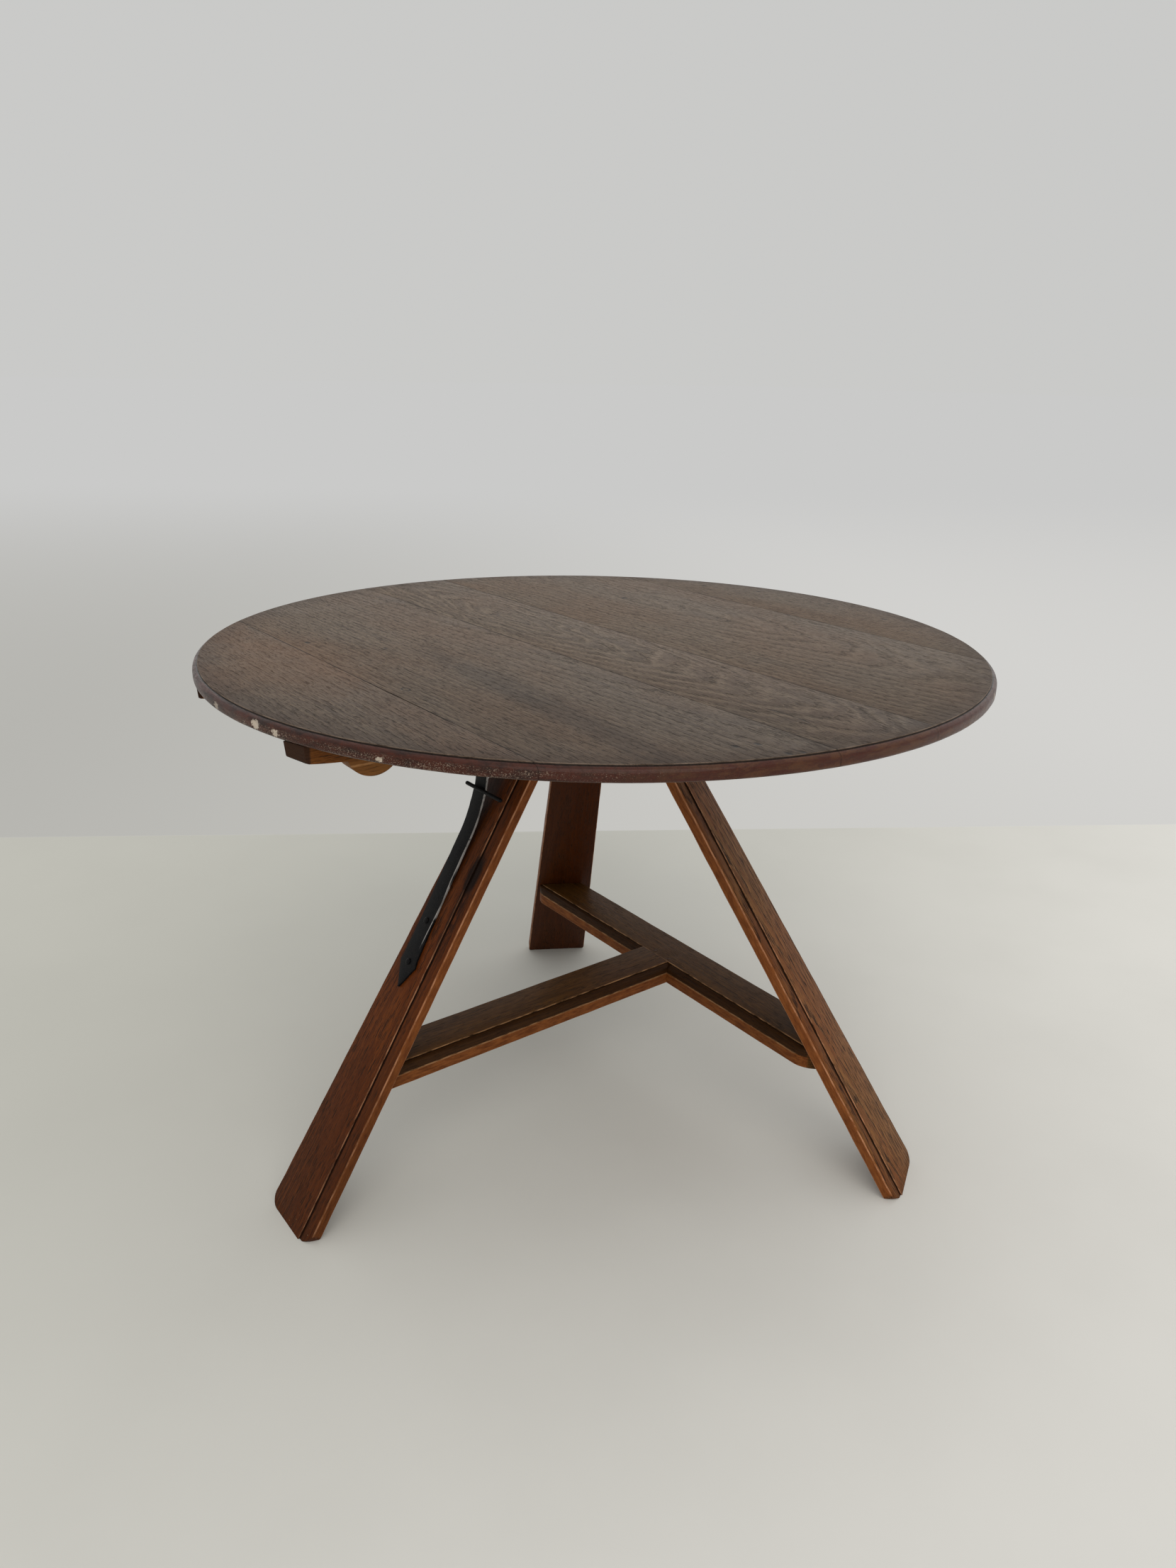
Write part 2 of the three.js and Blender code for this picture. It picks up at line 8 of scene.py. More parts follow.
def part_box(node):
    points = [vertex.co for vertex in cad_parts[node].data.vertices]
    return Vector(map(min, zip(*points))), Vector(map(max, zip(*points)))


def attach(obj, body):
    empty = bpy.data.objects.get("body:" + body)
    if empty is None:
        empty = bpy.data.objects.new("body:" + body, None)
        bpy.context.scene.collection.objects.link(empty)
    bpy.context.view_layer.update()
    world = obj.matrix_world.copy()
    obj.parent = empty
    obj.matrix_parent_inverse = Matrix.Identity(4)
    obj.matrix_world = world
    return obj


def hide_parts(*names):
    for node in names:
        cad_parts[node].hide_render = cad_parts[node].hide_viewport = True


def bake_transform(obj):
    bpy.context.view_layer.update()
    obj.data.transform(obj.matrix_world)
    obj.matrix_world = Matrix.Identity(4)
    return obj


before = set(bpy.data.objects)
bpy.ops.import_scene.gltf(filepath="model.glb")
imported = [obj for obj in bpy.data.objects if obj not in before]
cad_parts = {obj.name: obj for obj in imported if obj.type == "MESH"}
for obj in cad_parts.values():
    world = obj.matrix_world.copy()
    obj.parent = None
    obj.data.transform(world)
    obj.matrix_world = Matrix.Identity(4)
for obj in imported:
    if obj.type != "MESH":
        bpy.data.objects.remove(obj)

# Looks of an oak tilt-top table: lengths are in millimetres until a mesh is made, then metres.
# X runs along the boards, Y along the battens, and the latch leg stands at -Y.

noise.seed_set(7)  # noise_vector follows the random seed, which is the clock unless it is set
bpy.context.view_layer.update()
mm = 0.001
fit = 0.3  # the gap between touching pieces
smoothAngle = math.radians(32)
arrisAngle = math.radians(40)


def boxOf(node):
    low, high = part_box(node)
    return low / mm, high / mm


def hexShade(code):
    parts = [int(code[i:i + 2], 16) / 255 for i in (0, 2, 4)]
    linear = [c / 12.92 if c <= 0.04045 else ((c + 0.055) / 1.055) ** 2.4 for c in parts]
    return (*linear, 1.0)


def lerp(a, b, t):
    return a + (b - a) * t


def clamp(value, low=0.0, high=1.0):
    return max(low, min(high, value))


def curve(start, middle, end, steps):  # evenly spaced points of a quadratic curve
    result = []
    for step in range(steps + 1):
        t = step / steps
        result.append(start * (1 - t) ** 2 + middle * (2 * t * (1 - t)) + end * t ** 2)
    return result


def axes(x, y, z, origin):  # the matrix of a frame with these axes
    matrix = Matrix((x, y, z)).transposed().to_4x4()
    matrix.translation = Vector(origin)
    return matrix


def maths(operation, reflected=False):  # makes a method that adds a Math node
    def method(self, *others):
        inputs = (*others, self) if reflected else (self, *others)
        return self.tree.add('Math', {'operation': operation}, dict(enumerate(inputs)))
    return method


class Value:  # one shader value, so that shader maths reads as plain arithmetic
    __add__ = maths('ADD')
    __radd__ = maths('ADD', True)
    __sub__ = maths('SUBTRACT')
    __rsub__ = maths('SUBTRACT', True)
    __mul__ = maths('MULTIPLY')
    __rmul__ = maths('MULTIPLY', True)
    __truediv__ = maths('DIVIDE')
    __rtruediv__ = maths('DIVIDE', True)
    __pow__ = maths('POWER')
    __rpow__ = maths('POWER', True)
    fract = maths('FRACT')
    size = maths('ABSOLUTE')
    atLeast = maths('MAXIMUM')

    def __init__(self, tree, link):
        self.tree = tree
        self.link = link

    def ease(self, low, high):  # 0 at low, 1 at high, smooth between
        sockets = {'Value': self, 'From Min': low, 'From Max': high}
        return self.tree.add('MapRange', {'interpolation_type': 'SMOOTHSTEP'}, sockets)


def away(*parts):  # how far these parts reach together
    total = parts[0] * parts[0]
    for part in parts[1:]:
        total = total + part * part
    return total ** 0.5


def near(u, v, reach):  # 1 close to the line u = v = 0, and 0 beyond reach of it
    return away(u, v).ease(reach, reach * 0.3)


class Tree:  # a material and the ways to add nodes to it
    def __init__(self, name):
        self.material = bpy.data.materials.new(name)
        self.material.use_nodes = True
        self.nodes = self.material.node_tree.nodes
        self.links = self.material.node_tree.links
        self.nodes.clear()
        self.colour = None

    def add(self, kind, settings, sockets, output=0):
        node = self.nodes.new('ShaderNode' + kind)
        for name, value in settings.items():
            setattr(node, name, value)
        for name, value in sockets.items():
            if isinstance(value, Value):
                self.links.new(value.link, node.inputs[name])
            else:
                node.inputs[name].default_value = value
        return Value(self, node.outputs[output]) if len(node.outputs) else None

    def split(self, vector):
        first = self.add('SeparateXYZ', {}, {0: vector})
        return [Value(self, first.link.node.outputs[i]) for i in range(3)]

    def scaled(self, vector, factors):
        return self.add('VectorMath', {'operation': 'MULTIPLY'}, {0: vector, 1: factors})

    def shifted(self, vector, step):
        return self.add('VectorMath', {'operation': 'ADD'}, {0: vector, 1: step})

    def noise(self, vector, sizes, detail=2.0, roughness=0.5):  # sizes: how long its features are on x, y, z
        scaled = self.scaled(vector, [1 / size for size in sizes])
        sockets = {'Vector': scaled, 'Scale': 1.0, 'Detail': detail, 'Roughness': roughness}
        return self.add('TexNoise', {}, sockets)

    def mix(self, mask, first, second):  # of colours, any of them a hex code
        first, second = [hexShade(side) if isinstance(side, str) else side for side in (first, second)]
        return self.add('Mix', {'data_type': 'RGBA'}, {0: mask, 6: first, 7: second}, 2)

    def paint(self, mask, shade):  # lays a shade over the colour so far
        self.colour = self.mix(mask, self.colour, shade)

    def finish(self, roughness, height, bumpDepth, sockets):
        bump = self.add('Bump', {}, {'Distance': bumpDepth * mm, 'Height': height})
        sockets = {'Base Color': self.colour, 'Roughness': roughness, 'Normal': bump, **sockets}
        shader = self.add('BsdfPrincipled', {}, sockets)
        self.add('OutputMaterial', {}, {'Surface': shader})
        return self.material

    # A point in millimetres in a piece's own frame: x along the grain, z out of the face.
    def place(self, matrix):
        coordinates = self.add('TexCoord', {}, {}, 3)
        spin = matrix.to_euler()
        sockets = {'Vector': coordinates, 'Location': matrix.translation * mm, 'Rotation': spin}
        local = self.add('Mapping', {'vector_type': 'TEXTURE'}, sockets)
        return self.scaled(local, (1 / mm, 1 / mm, 1 / mm))


oakBase = {
    'dark': '2a1c12', 'middle': '6b4a30', 'pale': '8c6846', 'warm': '7d4c26', 'pore': '1d130c',
    'seed': 1, 'heart': (0.0, -60.0), 'runOut': 0.02, 'ring': 4.2, 'wander': 14.0,
    'figure': 0.55, 'warmth': 0.5, 'pores': 0.75, 'poreSize': 1.0, 'poreRings': 0.10, 'rays': 0.15,
    'arcs': 0.0, 'roughness': 0.46, 'coat': 0.12,
}


def oak(tree, place, look):
    seed = look['seed']
    here = tree.shifted(place, (seed * 913.0, seed * 377.0, seed * 151.0))
    x, y, z = tree.split(place)
    bend = tree.noise(here, (210, 62, 62), 3) - 0.5
    sideways = y - look['heart'][0] + bend * look['wander']
    below = z - look['heart'][1] + x * look['runOut'] + bend * (look['wander'] * 0.6)
    radius = away(sideways, below)
    flutter = tree.noise(here, (45, 9, 9), 2) * 1.6
    ring = ((radius + flutter) / look['ring']).fract()
    early = ring.ease(0.5, 0.05) * ring.ease(0.0, 0.05)  # the open-pored band of each ring
    summer = ring.ease(0.35, 0.85)
    size = look['poreSize']
    coarse = tree.noise(here, (17 * size, 1.15 * size, 1.15 * size), 1, 0.5)
    fine = tree.noise(here, (10 * size, 0.7 * size, 0.7 * size), 0.5)
    streaks = tree.noise(here, (120, 2.2, 2.2), 3, 0.6)
    fibre = tree.noise(here, (90, 1.1, 1.1), 3, 0.6)
    clouds = tree.noise(here, (260, 120, 120), 3)
    blotch = tree.noise(here, (45, 26, 26), 4, 0.62)
    streak = (coarse + early * look['poreRings']).ease(0.62, 0.68)
    speck = (fine + early * look['poreRings']).ease(0.63, 0.70)
    pores = (streak * look['pores']).atLeast(speck * (look['pores'] * 0.6))
    fleck = tree.noise(here, (4.2, 26, 3), 2).ease(0.62, 0.72)
    tree.colour = tree.mix(summer * look['figure'], look['pale'], look['middle'])
    tree.paint(fibre.ease(0.30, 0.72) * 0.30, look['dark'])
    tree.paint(streaks.ease(0.46, 0.68) * 0.42, look['dark'])
    tree.paint(streaks.ease(0.46, 0.30) * 0.35, look['pale'])
    tree.paint(clouds.ease(0.36, 0.68) * look['warmth'], look['warm'])
    tree.paint(blotch.ease(0.5, 0.78) * 0.28, look['dark'])
    tree.paint(fleck * look['rays'], look['pale'])
    if look['arcs']:  # the pale lines of a board cut near its heart
        line = near(ring - 0.5, 0, 0.22) * blotch.ease(0.38, 0.60) * fine.ease(0.62, 0.42)
        tree.paint(line * look['arcs'], '93826f')
    tree.paint(pores, look['pore'])
    height = fibre * 0.10 + fleck * 0.05 - streak * 0.5 - speck * 0.25 - early * 0.05 + blotch * 0.12
    roughness = look['roughness'] + blotch * 0.12 + pores * 0.2 - 0.06
    return roughness, height


def varnish(look):
    return {'Coat Weight': look['coat'], 'Coat Roughness': 0.25, 'Specular IOR Level': 0.07}


def show(name, data):  # puts new data in the scene
    thing = bpy.data.objects.new(name, data)
    bpy.context.scene.collection.objects.link(thing)
    return thing


def addMesh(name, points, faces):
    data = bpy.data.meshes.new(name)
    data.from_pydata([tuple(p * mm for p in point) for point in points], [], faces)
    piece = show(name, data)
    shell = shapeOf(piece)
    bmesh.ops.recalc_face_normals(shell, faces=shell.faces)
    putBack(piece, shell)
    return piece


# Skins a row of rings, each with the same number of points, and closes both ends.
def skin(name, rings):
    count = len(rings[0])
    points = [point for ring in rings for point in ring]
    faces = [tuple(reversed(range(count))), tuple(range(len(points) - count, len(points)))]
    for row in range(len(rings) - 1):
        for i in range(count):
            j = (i + 1) % count
            base = row * count
            faces.append((base + i, base + j, base + count + j, base + count + i))
    return addMesh(name, points, faces)


# A closed outline whose corners, given as (u, v, radius), are rounded.
def rounded(corners, steps=3):
    outline = []
    for index, (u, v, radius) in enumerate(corners):
        here = Vector((u, v))
        if radius == 0:
            outline.append(here)
            continue
        ahead = Vector(corners[(index + 1) % len(corners)][:2]) - here
        behind = Vector(corners[index - 1][:2]) - here
        outline += curve(here + behind.normalized() * radius, here, here + ahead.normalized() * radius, steps)
    return outline


def shapeOf(piece):
    shell = bmesh.new()
    shell.from_mesh(piece.data)
    return shell


def putBack(piece, shell):
    shell.to_mesh(piece.data)
    shell.free()


# Slices off all of a piece on the side that a plane's normal points to, and closes the cut.
def sliceOff(piece, point, normal):
    shell = shapeOf(piece)
    everything = shell.verts[:] + shell.edges[:] + shell.faces[:]
    cut = bmesh.ops.bisect_plane(shell, geom=everything, dist=1e-7, plane_co=Vector(point) * mm,
                                 plane_no=Vector(normal), clear_outer=True)
    rim = [item for item in cut['geom_cut'] if isinstance(item, bmesh.types.BMEdge)]
    bmesh.ops.holes_fill(shell, edges=rim, sides=0)
    bmesh.ops.recalc_face_normals(shell, faces=shell.faces)
    putBack(piece, shell)


def carve(piece, tool, operation='DIFFERENCE'):
    change = piece.modifiers.new('carve', 'BOOLEAN')
    change.operation = operation
    change.solver = 'EXACT'
    change.object = tool
    settle(piece)
    bpy.data.objects.remove(tool)


def settle(piece):  # applies a piece's modifiers
    made = piece.evaluated_get(bpy.context.evaluated_depsgraph_get())
    data = bpy.data.meshes.new_from_object(made)
    piece.modifiers.clear()
    piece.data = data


def block(low, high, matrix=Matrix()):
    corners = [(x, y, z) for x in (low[0], high[0]) for y in (low[1], high[1]) for z in (low[2], high[2])]
    faces = [(0, 1, 3, 2), (4, 6, 7, 5), (0, 4, 5, 1), (2, 3, 7, 6), (0, 2, 6, 4), (1, 5, 7, 3)]
    return addMesh('tool', [matrix @ Vector(corner) for corner in corners], faces)


def circle(centre, across, up, radius, sides):
    turns = [2 * math.pi * i / sides for i in range(sides)]
    return [centre + (across * math.cos(turn) + up * math.sin(turn)) * radius for turn in turns]


def quarter(steps):  # even turns over a quarter circle
    return [step / steps * math.pi / 2 for step in range(steps + 1)]


# Round rods in one mesh, each as (start, end, radius).
def rods(name, entries, sides=24):
    points = []
    faces = []
    for start, end, radius in entries:
        run = (Vector(end) - Vector(start)).normalized()
        across = run.orthogonal().normalized()
        up = run.cross(across)
        base = len(points)
        for place in (start, end):
            points += circle(Vector(place), across, up, radius, sides)
        faces += [tuple(first + i for i in range(sides)) for first in (base, base + sides)]
        for i in range(sides):
            j = (i + 1) % sides
            faces.append((base + i, base + j, base + sides + j, base + sides + i))
    return addMesh(name, points, faces)


def dress(piece, material):
    piece.data.materials.clear()
    piece.data.materials.append(material)
    for face in piece.data.polygons:
        face.use_smooth = True
    piece.data.set_sharp_from_angle(angle=smoothAngle)


def placed(piece, body, slotName, material, *nodes):
    dress(piece, material)
    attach(piece, body)
    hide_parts(*nodes)
    return piece


# A CAD node's own shape with its arrises taken off, standing for that node.
def softened(name, node, width, body, slotName, material):
    piece = show(name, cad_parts[node].data.copy())
    shell = shapeOf(piece)
    bmesh.ops.remove_doubles(shell, verts=shell.verts, dist=1e-6)
    bmesh.ops.dissolve_limit(shell, angle_limit=math.radians(1), verts=shell.verts, edges=shell.edges)
    putBack(piece, shell)
    arris = piece.modifiers.new('arris', 'BEVEL')
    arris.width = width * mm
    arris.segments = 2
    arris.limit_method = 'ANGLE'
    arris.angle_limit = arrisAngle
    settle(piece)
    return placed(piece, body, slotName, material, node)


def jitter(point, reach, amount):
    return noise.noise_vector(Vector(point) / reach) * amount


top = {
    'radius': 525, 'height': boxOf('top_board_1')[1].z, 'underside': boxOf('top_board_1')[0].z,
    'joints': [-359, -89, 60, 360], 'inset': 6, 'drop': 2, 'ovoloDrop': 7, 'footRadius': 4,
    'segments': 720, 'openJoint': (-359, 14, 210, 0.5),  # y, from x, to x, and half its widest opening
    'uneven': 0.35, 'arris': 0.4,
    'chips': [(-91, 725, 8, 0.8), (-80.5, 727, 9, 1.8), (-76.5, 725, 7, 1.5), (-61, 724, 4.5, 1.2),
              (28, 728, 6, 0.8)],  # degrees, height, size, depth
    'marks': [(-194, -334, 3.5), (-110, -262, 2.2), (-45, -330, 1.6), (-218, 228, 4), (-232, 417, 3.5),
              (-143, 460, 3.5), (-6, 482, 3), (124, 460, 3.5), (448, -167, 3), (455, -143, 3),
              (493, -139, 3), (498, -124, 2.5)],
    'plug': (84, -337, 7.5),
    'crack': (402, -46, 36, 4.5),
    'glow': (-110, -400, 260, 100),  # a warm patch: its middle, and its half length and width
    'band': (-217, 0.06, 32),  # an open-grained band: y, slope and width
}
boardLooks = [
    {'seed': 2.3, 'heart': (-610, 690), 'warmth': 0.75, 'figure': 0.50, 'wander': 26},
    {'seed': 3.1, 'heart': (-95, 668), 'runOut': 0.04, 'warmth': 0.35, 'figure': 0.42, 'wander': 24},
    {'seed': 5.7, 'heart': (-15, 700), 'runOut': 0.2, 'ring': 12, 'warmth': 0.28, 'figure': 0.5,
     'wander': 74, 'arcs': 0.34},
    {'seed': 7.2, 'heart': (240, 700), 'runOut': 0.14, 'ring': 12, 'warmth': 0.36, 'figure': 0.36,
     'wander': 70, 'arcs': 0.16},
    {'seed': 8.9, 'heart': (640, 690), 'warmth': 0.36, 'figure': 0.50, 'wander': 30},
]
topOak = {**oakBase, 'dark': '281c14', 'middle': '43342a', 'pale': '70604f', 'warm': '65472c',
          'pore': '150d08',
          'runOut': 0.05, 'ring': 8, 'pores': 0.8, 'poreSize': 0.72, 'rays': 0.25, 'roughness': 0.52,
          'coat': 0.02}


def boardMaterial(index):
    look = {**topOak, **boardLooks[index]}
    tree = Tree(f'board_oak_{index + 1}')
    place = tree.place(Matrix())
    roughness, height = oak(tree, place, look)
    x, y, z = tree.split(place)
    reach = away(x, y)
    grimeAndShade = tree.noise(place, (30, 30, 8), 4, 0.7)
    handled = (reach + grimeAndShade * 60).ease(500, 552)  # darker round the edge, where hands have been
    tree.paint(handled * 0.5, '3a2b21')
    # Painted shade: the side of the top towards the camera is darkened, as the far side is lightened by
    # sheen.
    nearSideShade = (x * 0.79 - y * 0.61).ease(-60, 520)
    tree.paint(nearSideShade * 0.30, '22160e')
    glowX, glowY, glowLength, glowWidth = top['glow']
    offCentre = away((x - glowX) / glowLength, (y - glowY) / glowWidth)
    tree.paint((offCentre + grimeAndShade * 0.7).ease(1.5, 0.6) * 0.20, '7d5635')
    bandY, bandSlope, bandWidth = top['band']
    band = near(y - bandY + x * bandSlope + grimeAndShade * 20, 0.0, bandWidth) * grimeAndShade.ease(0.25, 0.5)
    tree.paint(band * x.ease(-160, 80) * 0.36, '1a110c')
    edgeZ = top['height'] - top['drop']
    fromInner = reach - (top['radius'] - top['inset'])
    rim = z.ease(edgeZ + 0.6, edgeZ - 0.2) * reach.ease(top['radius'] - 9, top['radius'] - 6.5)
    stain = tree.mix(grimeAndShade.ease(0.35, 0.7), '43190a', '1e0a04')
    mottle = tree.noise(place, (4, 4, 2), 3, 0.7)
    stain = tree.mix(mottle.ease(0.5, 0.75) * 0.4, stain, '5a2c18')
    tree.paint(rim * 0.95, stain)
    bared = grimeAndShade.ease(0.42, 0.60) * x.ease(380, 500)  # stain worn through
    tree.paint(bared * rim * 0.35, '744727')
    front = y.ease(-150, -400) * x.ease(-60, 120)  # the stretch most rubbed
    scuffs = tree.noise(place, (1.7, 1.7, 1.1), 3, 0.8)
    patches = tree.noise(place, (34, 34, 9), 2)
    low = z.ease(edgeZ - 3.5, edgeZ - 8)
    rubbed = (scuffs + front * 0.15 + patches * 0.22).ease(0.81, 0.87) * rim * low
    tree.paint(rubbed * 0.75, 'a8927f')
    # Painted shade: a dark line in the crease at the foot of the rim's step.
    step = near(fromInner, z - edgeZ, 1.9)
    tree.paint(step * 0.85, '120a06')
    arris = near(fromInner, z - top['height'], 1.3)
    tree.paint(arris * grimeAndShade.ease(0.3, 0.6) * 0.45, 'a08c7c')
    ragged = tree.noise(place, (3.2, 3.2, 3.2), 4, 0.7)
    for degrees, chipZ, size, depth in top['chips']:
        turn = math.radians(degrees)
        dx = x - top['radius'] * math.cos(turn)
        dy = y - top['radius'] * math.sin(turn)
        dz = (z - chipZ) * 1.5
        chip = (away(dx, dy, dz) / size + (ragged - 0.5) * 2.6).ease(0.9, 0.6)
        tree.paint(chip * clamp(depth / 1.3), 'c2b4a4')
    wobble = tree.noise(place, (3, 3, 3), 2) * 2 - 1
    for markX, markY, size in top['marks']:
        mark = near((x - markX) * 0.6, y - markY + wobble, size * 1.5)
        tree.paint(mark * 0.9, '1a120d')
        height = height - mark * 0.8
    plugX, plugY, plugSize = top['plug']
    offCentre = away((x - plugX) * 0.62, y - plugY)
    ringLine = near(offCentre - plugSize * 0.55 + wobble * 0.5, 0, 1.5)
    tree.paint(ringLine * 0.8, '1c1410')
    height = height - ringLine * 0.5
    crackX, crackY, crackHalf, sag = top['crack']
    along = (x - crackX) / crackHalf
    offLine = y - crackY - (1 - along * along) * sag + wobble
    crack = near(offLine, 0, 1.5) * along.size().ease(1.0, 0.8)
    tree.paint(crack * 0.85, '1a120d')
    height = height - crack * 0.8
    for joint in top['joints']:
        patchy = tree.noise(place, (70, 9, 9), 3).ease(0.3, 0.55)
        seam = near(y - joint, 0, 1.5) * patchy
        tree.paint(seam * (0.8 - rim * 0.5), '1d140e')
    under = z.ease(top['underside'] + 1.5, top['underside'] + 0.3)
    tree.paint(under * 0.7, '5c4029')
    roughness = roughness + rim * (grimeAndShade * 0.25 - 0.30) + under * 0.2
    height = height + rubbed * 0.25 + rim * scuffs * 0.35
    sheen = {'Coat Weight': rim * 0.22 + look['coat'], 'Coat Roughness': 0.14, 'Specular IOR Level': 0.16}
    return tree.finish(roughness, height, 0.55, sheen)


# The rim's profile from the middle of the underside round to the middle of the upper face.
def rimProfile():
    radius = top['radius']
    foot = top['footRadius']
    profile = []
    for turn in quarter(4):
        reach = radius - foot * (1 - math.sin(turn))
        profile.append((reach, top['underside'] + foot * (1 - math.cos(turn))))
    base = top['height'] - top['drop'] - top['ovoloDrop']
    for turn in quarter(8):
        reach = radius - top['inset'] * (1 - math.cos(turn))
        profile.append((reach, base + top['ovoloDrop'] * math.sin(turn)))
    inner = radius - top['inset']
    profile += [(inner - 0.15, base + top['ovoloDrop'] + 0.6), (inner - 0.35, top['height'] - 0.45)]
    profile += [(inner - 0.7, top['height'] - 0.1), (inner - 1.3, top['height'])]
    return profile


def wornRimPoint(reach, z, turn):
    place = (math.cos(turn) * reach, math.sin(turn) * reach, z)
    worn = noise.noise(Vector(place) / 34) * top['uneven'] + noise.noise(Vector(place) / 6) * 0.18
    for degrees, chipZ, size, depth in top['chips']:
        across = abs(math.degrees(turn) - degrees) * math.pi / 180 * top['radius']
        off = math.hypot(across, (z - chipZ) * 1.5) / size
        if off < 1 and z < top['height'] - 3:
            bite = (1 - off ** 2) * (0.7 + 0.8 * noise.noise(Vector(place) / 2.5))
            worn -= depth * clamp(bite, 0, 1.2)
    return ((reach + worn) * math.cos(turn), (reach + worn) * math.sin(turn), z)


def roundTop():
    rings = []
    for reach, z in rimProfile():
        turns = [-math.pi + 2 * math.pi * i / top['segments'] for i in range(top['segments'])]
        rings.append([wornRimPoint(reach, z, turn) for turn in turns])
    return skin('round_top', rings)


# Opens the joint where the glue has let go, and breaks the boards' long arrises.
def easeJoints(piece):
    shell = shapeOf(piece)
    for x in range(-500, 501, 20):
        everything = shell.verts[:] + shell.edges[:] + shell.faces[:]
        bmesh.ops.bisect_plane(shell, geom=everything, dist=1e-7, plane_co=(x * mm, 0, 0), plane_no=(1, 0, 0))
    jointY, fromX, toX, half = top['openJoint']
    for vert in shell.verts:
        x, y = vert.co.x / mm, vert.co.y / mm
        if abs(y - jointY) < 1 and fromX < x < toX and vert.co.z / mm > top['height'] - 1:  # open above only
            opening = half * math.sin(math.pi * (x - fromX) / (toX - fromX))
            vert.co.y += math.copysign(opening * mm, y - jointY)
    level = [edge for edge in shell.edges if all(abs(v.co.z / mm - top['height']) < 0.01 for v in edge.verts)]
    upper = [edge for edge in level if len(edge.link_faces) == 2 and edge.calc_face_angle(0) > arrisAngle]
    bmesh.ops.bevel(shell, geom=upper, offset=top['arris'] * mm, segments=2, profile=0.6, affect='EDGES')
    putBack(piece, shell)


def makeTop():
    whole = roundTop()
    for index in range(len(top['joints']) + 1):
        board = show(f'board_{index + 1}', whole.data.copy())
        for y in top['joints'][max(index - 1, 0):index]:
            sliceOff(board, (0, y + fit / 2, 0), (0, -1, 0))
        for y in top['joints'][index:index + 1]:
            sliceOff(board, (0, y - fit / 2, 0), (0, 1, 0))
        easeJoints(board)
        placed(board, 'tabletop', 'top_oak', boardMaterial(index), f'top_board_{index + 1}')
    bpy.data.objects.remove(whole)
    print('top: five boards')


leg = {
    'footRadius': 501.5, 'lean': math.radians(32.35), 'footWidth': 110, 'taper': 0.0494, 'thickness': 19,
    'cornerRadius': 20, 'mould': (19, 2, 4), 'tenonHalf': 23, 'tenonFrom': 700, 'tenonTo': 900,
    'tenonShrink': 0.2, 'length': 850, 'knot': (532, 21, 26, 9),
    'plateBottom': boxOf('head_plate')[0].z, 'plateTop': boxOf('head_plate')[1].z, 'uneven': 0.35,
    'legs': {'latch': (-90, 1, 'leg_latch_side'), 'right': (30, -1, 'leg_right'),
             'left': (150, 1, 'leg_left')},  # azimuth, moulded side, node
}
legLooks = {
    'latch': {'seed': 11.3, 'heart': (0, -45), 'runOut': 0.02, 'middle': '552707', 'pale': '6f380f',
              'warm': '622c08', 'dark': '2a1103', 'pores': 0.85, 'poreSize': 0.9, 'ring': 4.2,
              'figure': 0.8, 'coat': 0.05},
    'right': {'seed': 12.9, 'heart': (26, -30), 'runOut': 0.05, 'middle': '6e421e', 'pale': '8c6034',
              'warm': '7a4118', 'dark': '381a08', 'pores': 0.95, 'ring': 6.5, 'poreSize': 1.3,
              'poreRings': 0.16, 'figure': 0.85},
    'left': {'seed': 14.1, 'heart': (-15, -70), 'runOut': 0.02, 'middle': '3f1a05', 'pale': '502709',
             'warm': '4a1f06', 'dark': '1d0c03', 'pores': 0.7, 'ring': 3.8, 'rays': 0.5},
}


def legFrame(azimuth):  # columns: across, along, out
    turn = math.radians(azimuth)
    radial = Vector((math.cos(turn), math.sin(turn), 0))
    across = Vector((-math.sin(turn), math.cos(turn), 0))
    up = Vector((0, 0, 1))
    along = up * math.cos(leg['lean']) - radial * math.sin(leg['lean'])
    out = up * math.sin(leg['lean']) + radial * math.cos(leg['lean'])
    return axes(across, along, out, radial * leg['footRadius'])


def grainFrame(azimuth):  # columns: along, minus across, out
    across, along, out, foot = [column.to_3d() for column in legFrame(azimuth).col]
    return axes(along, -across, out, foot)


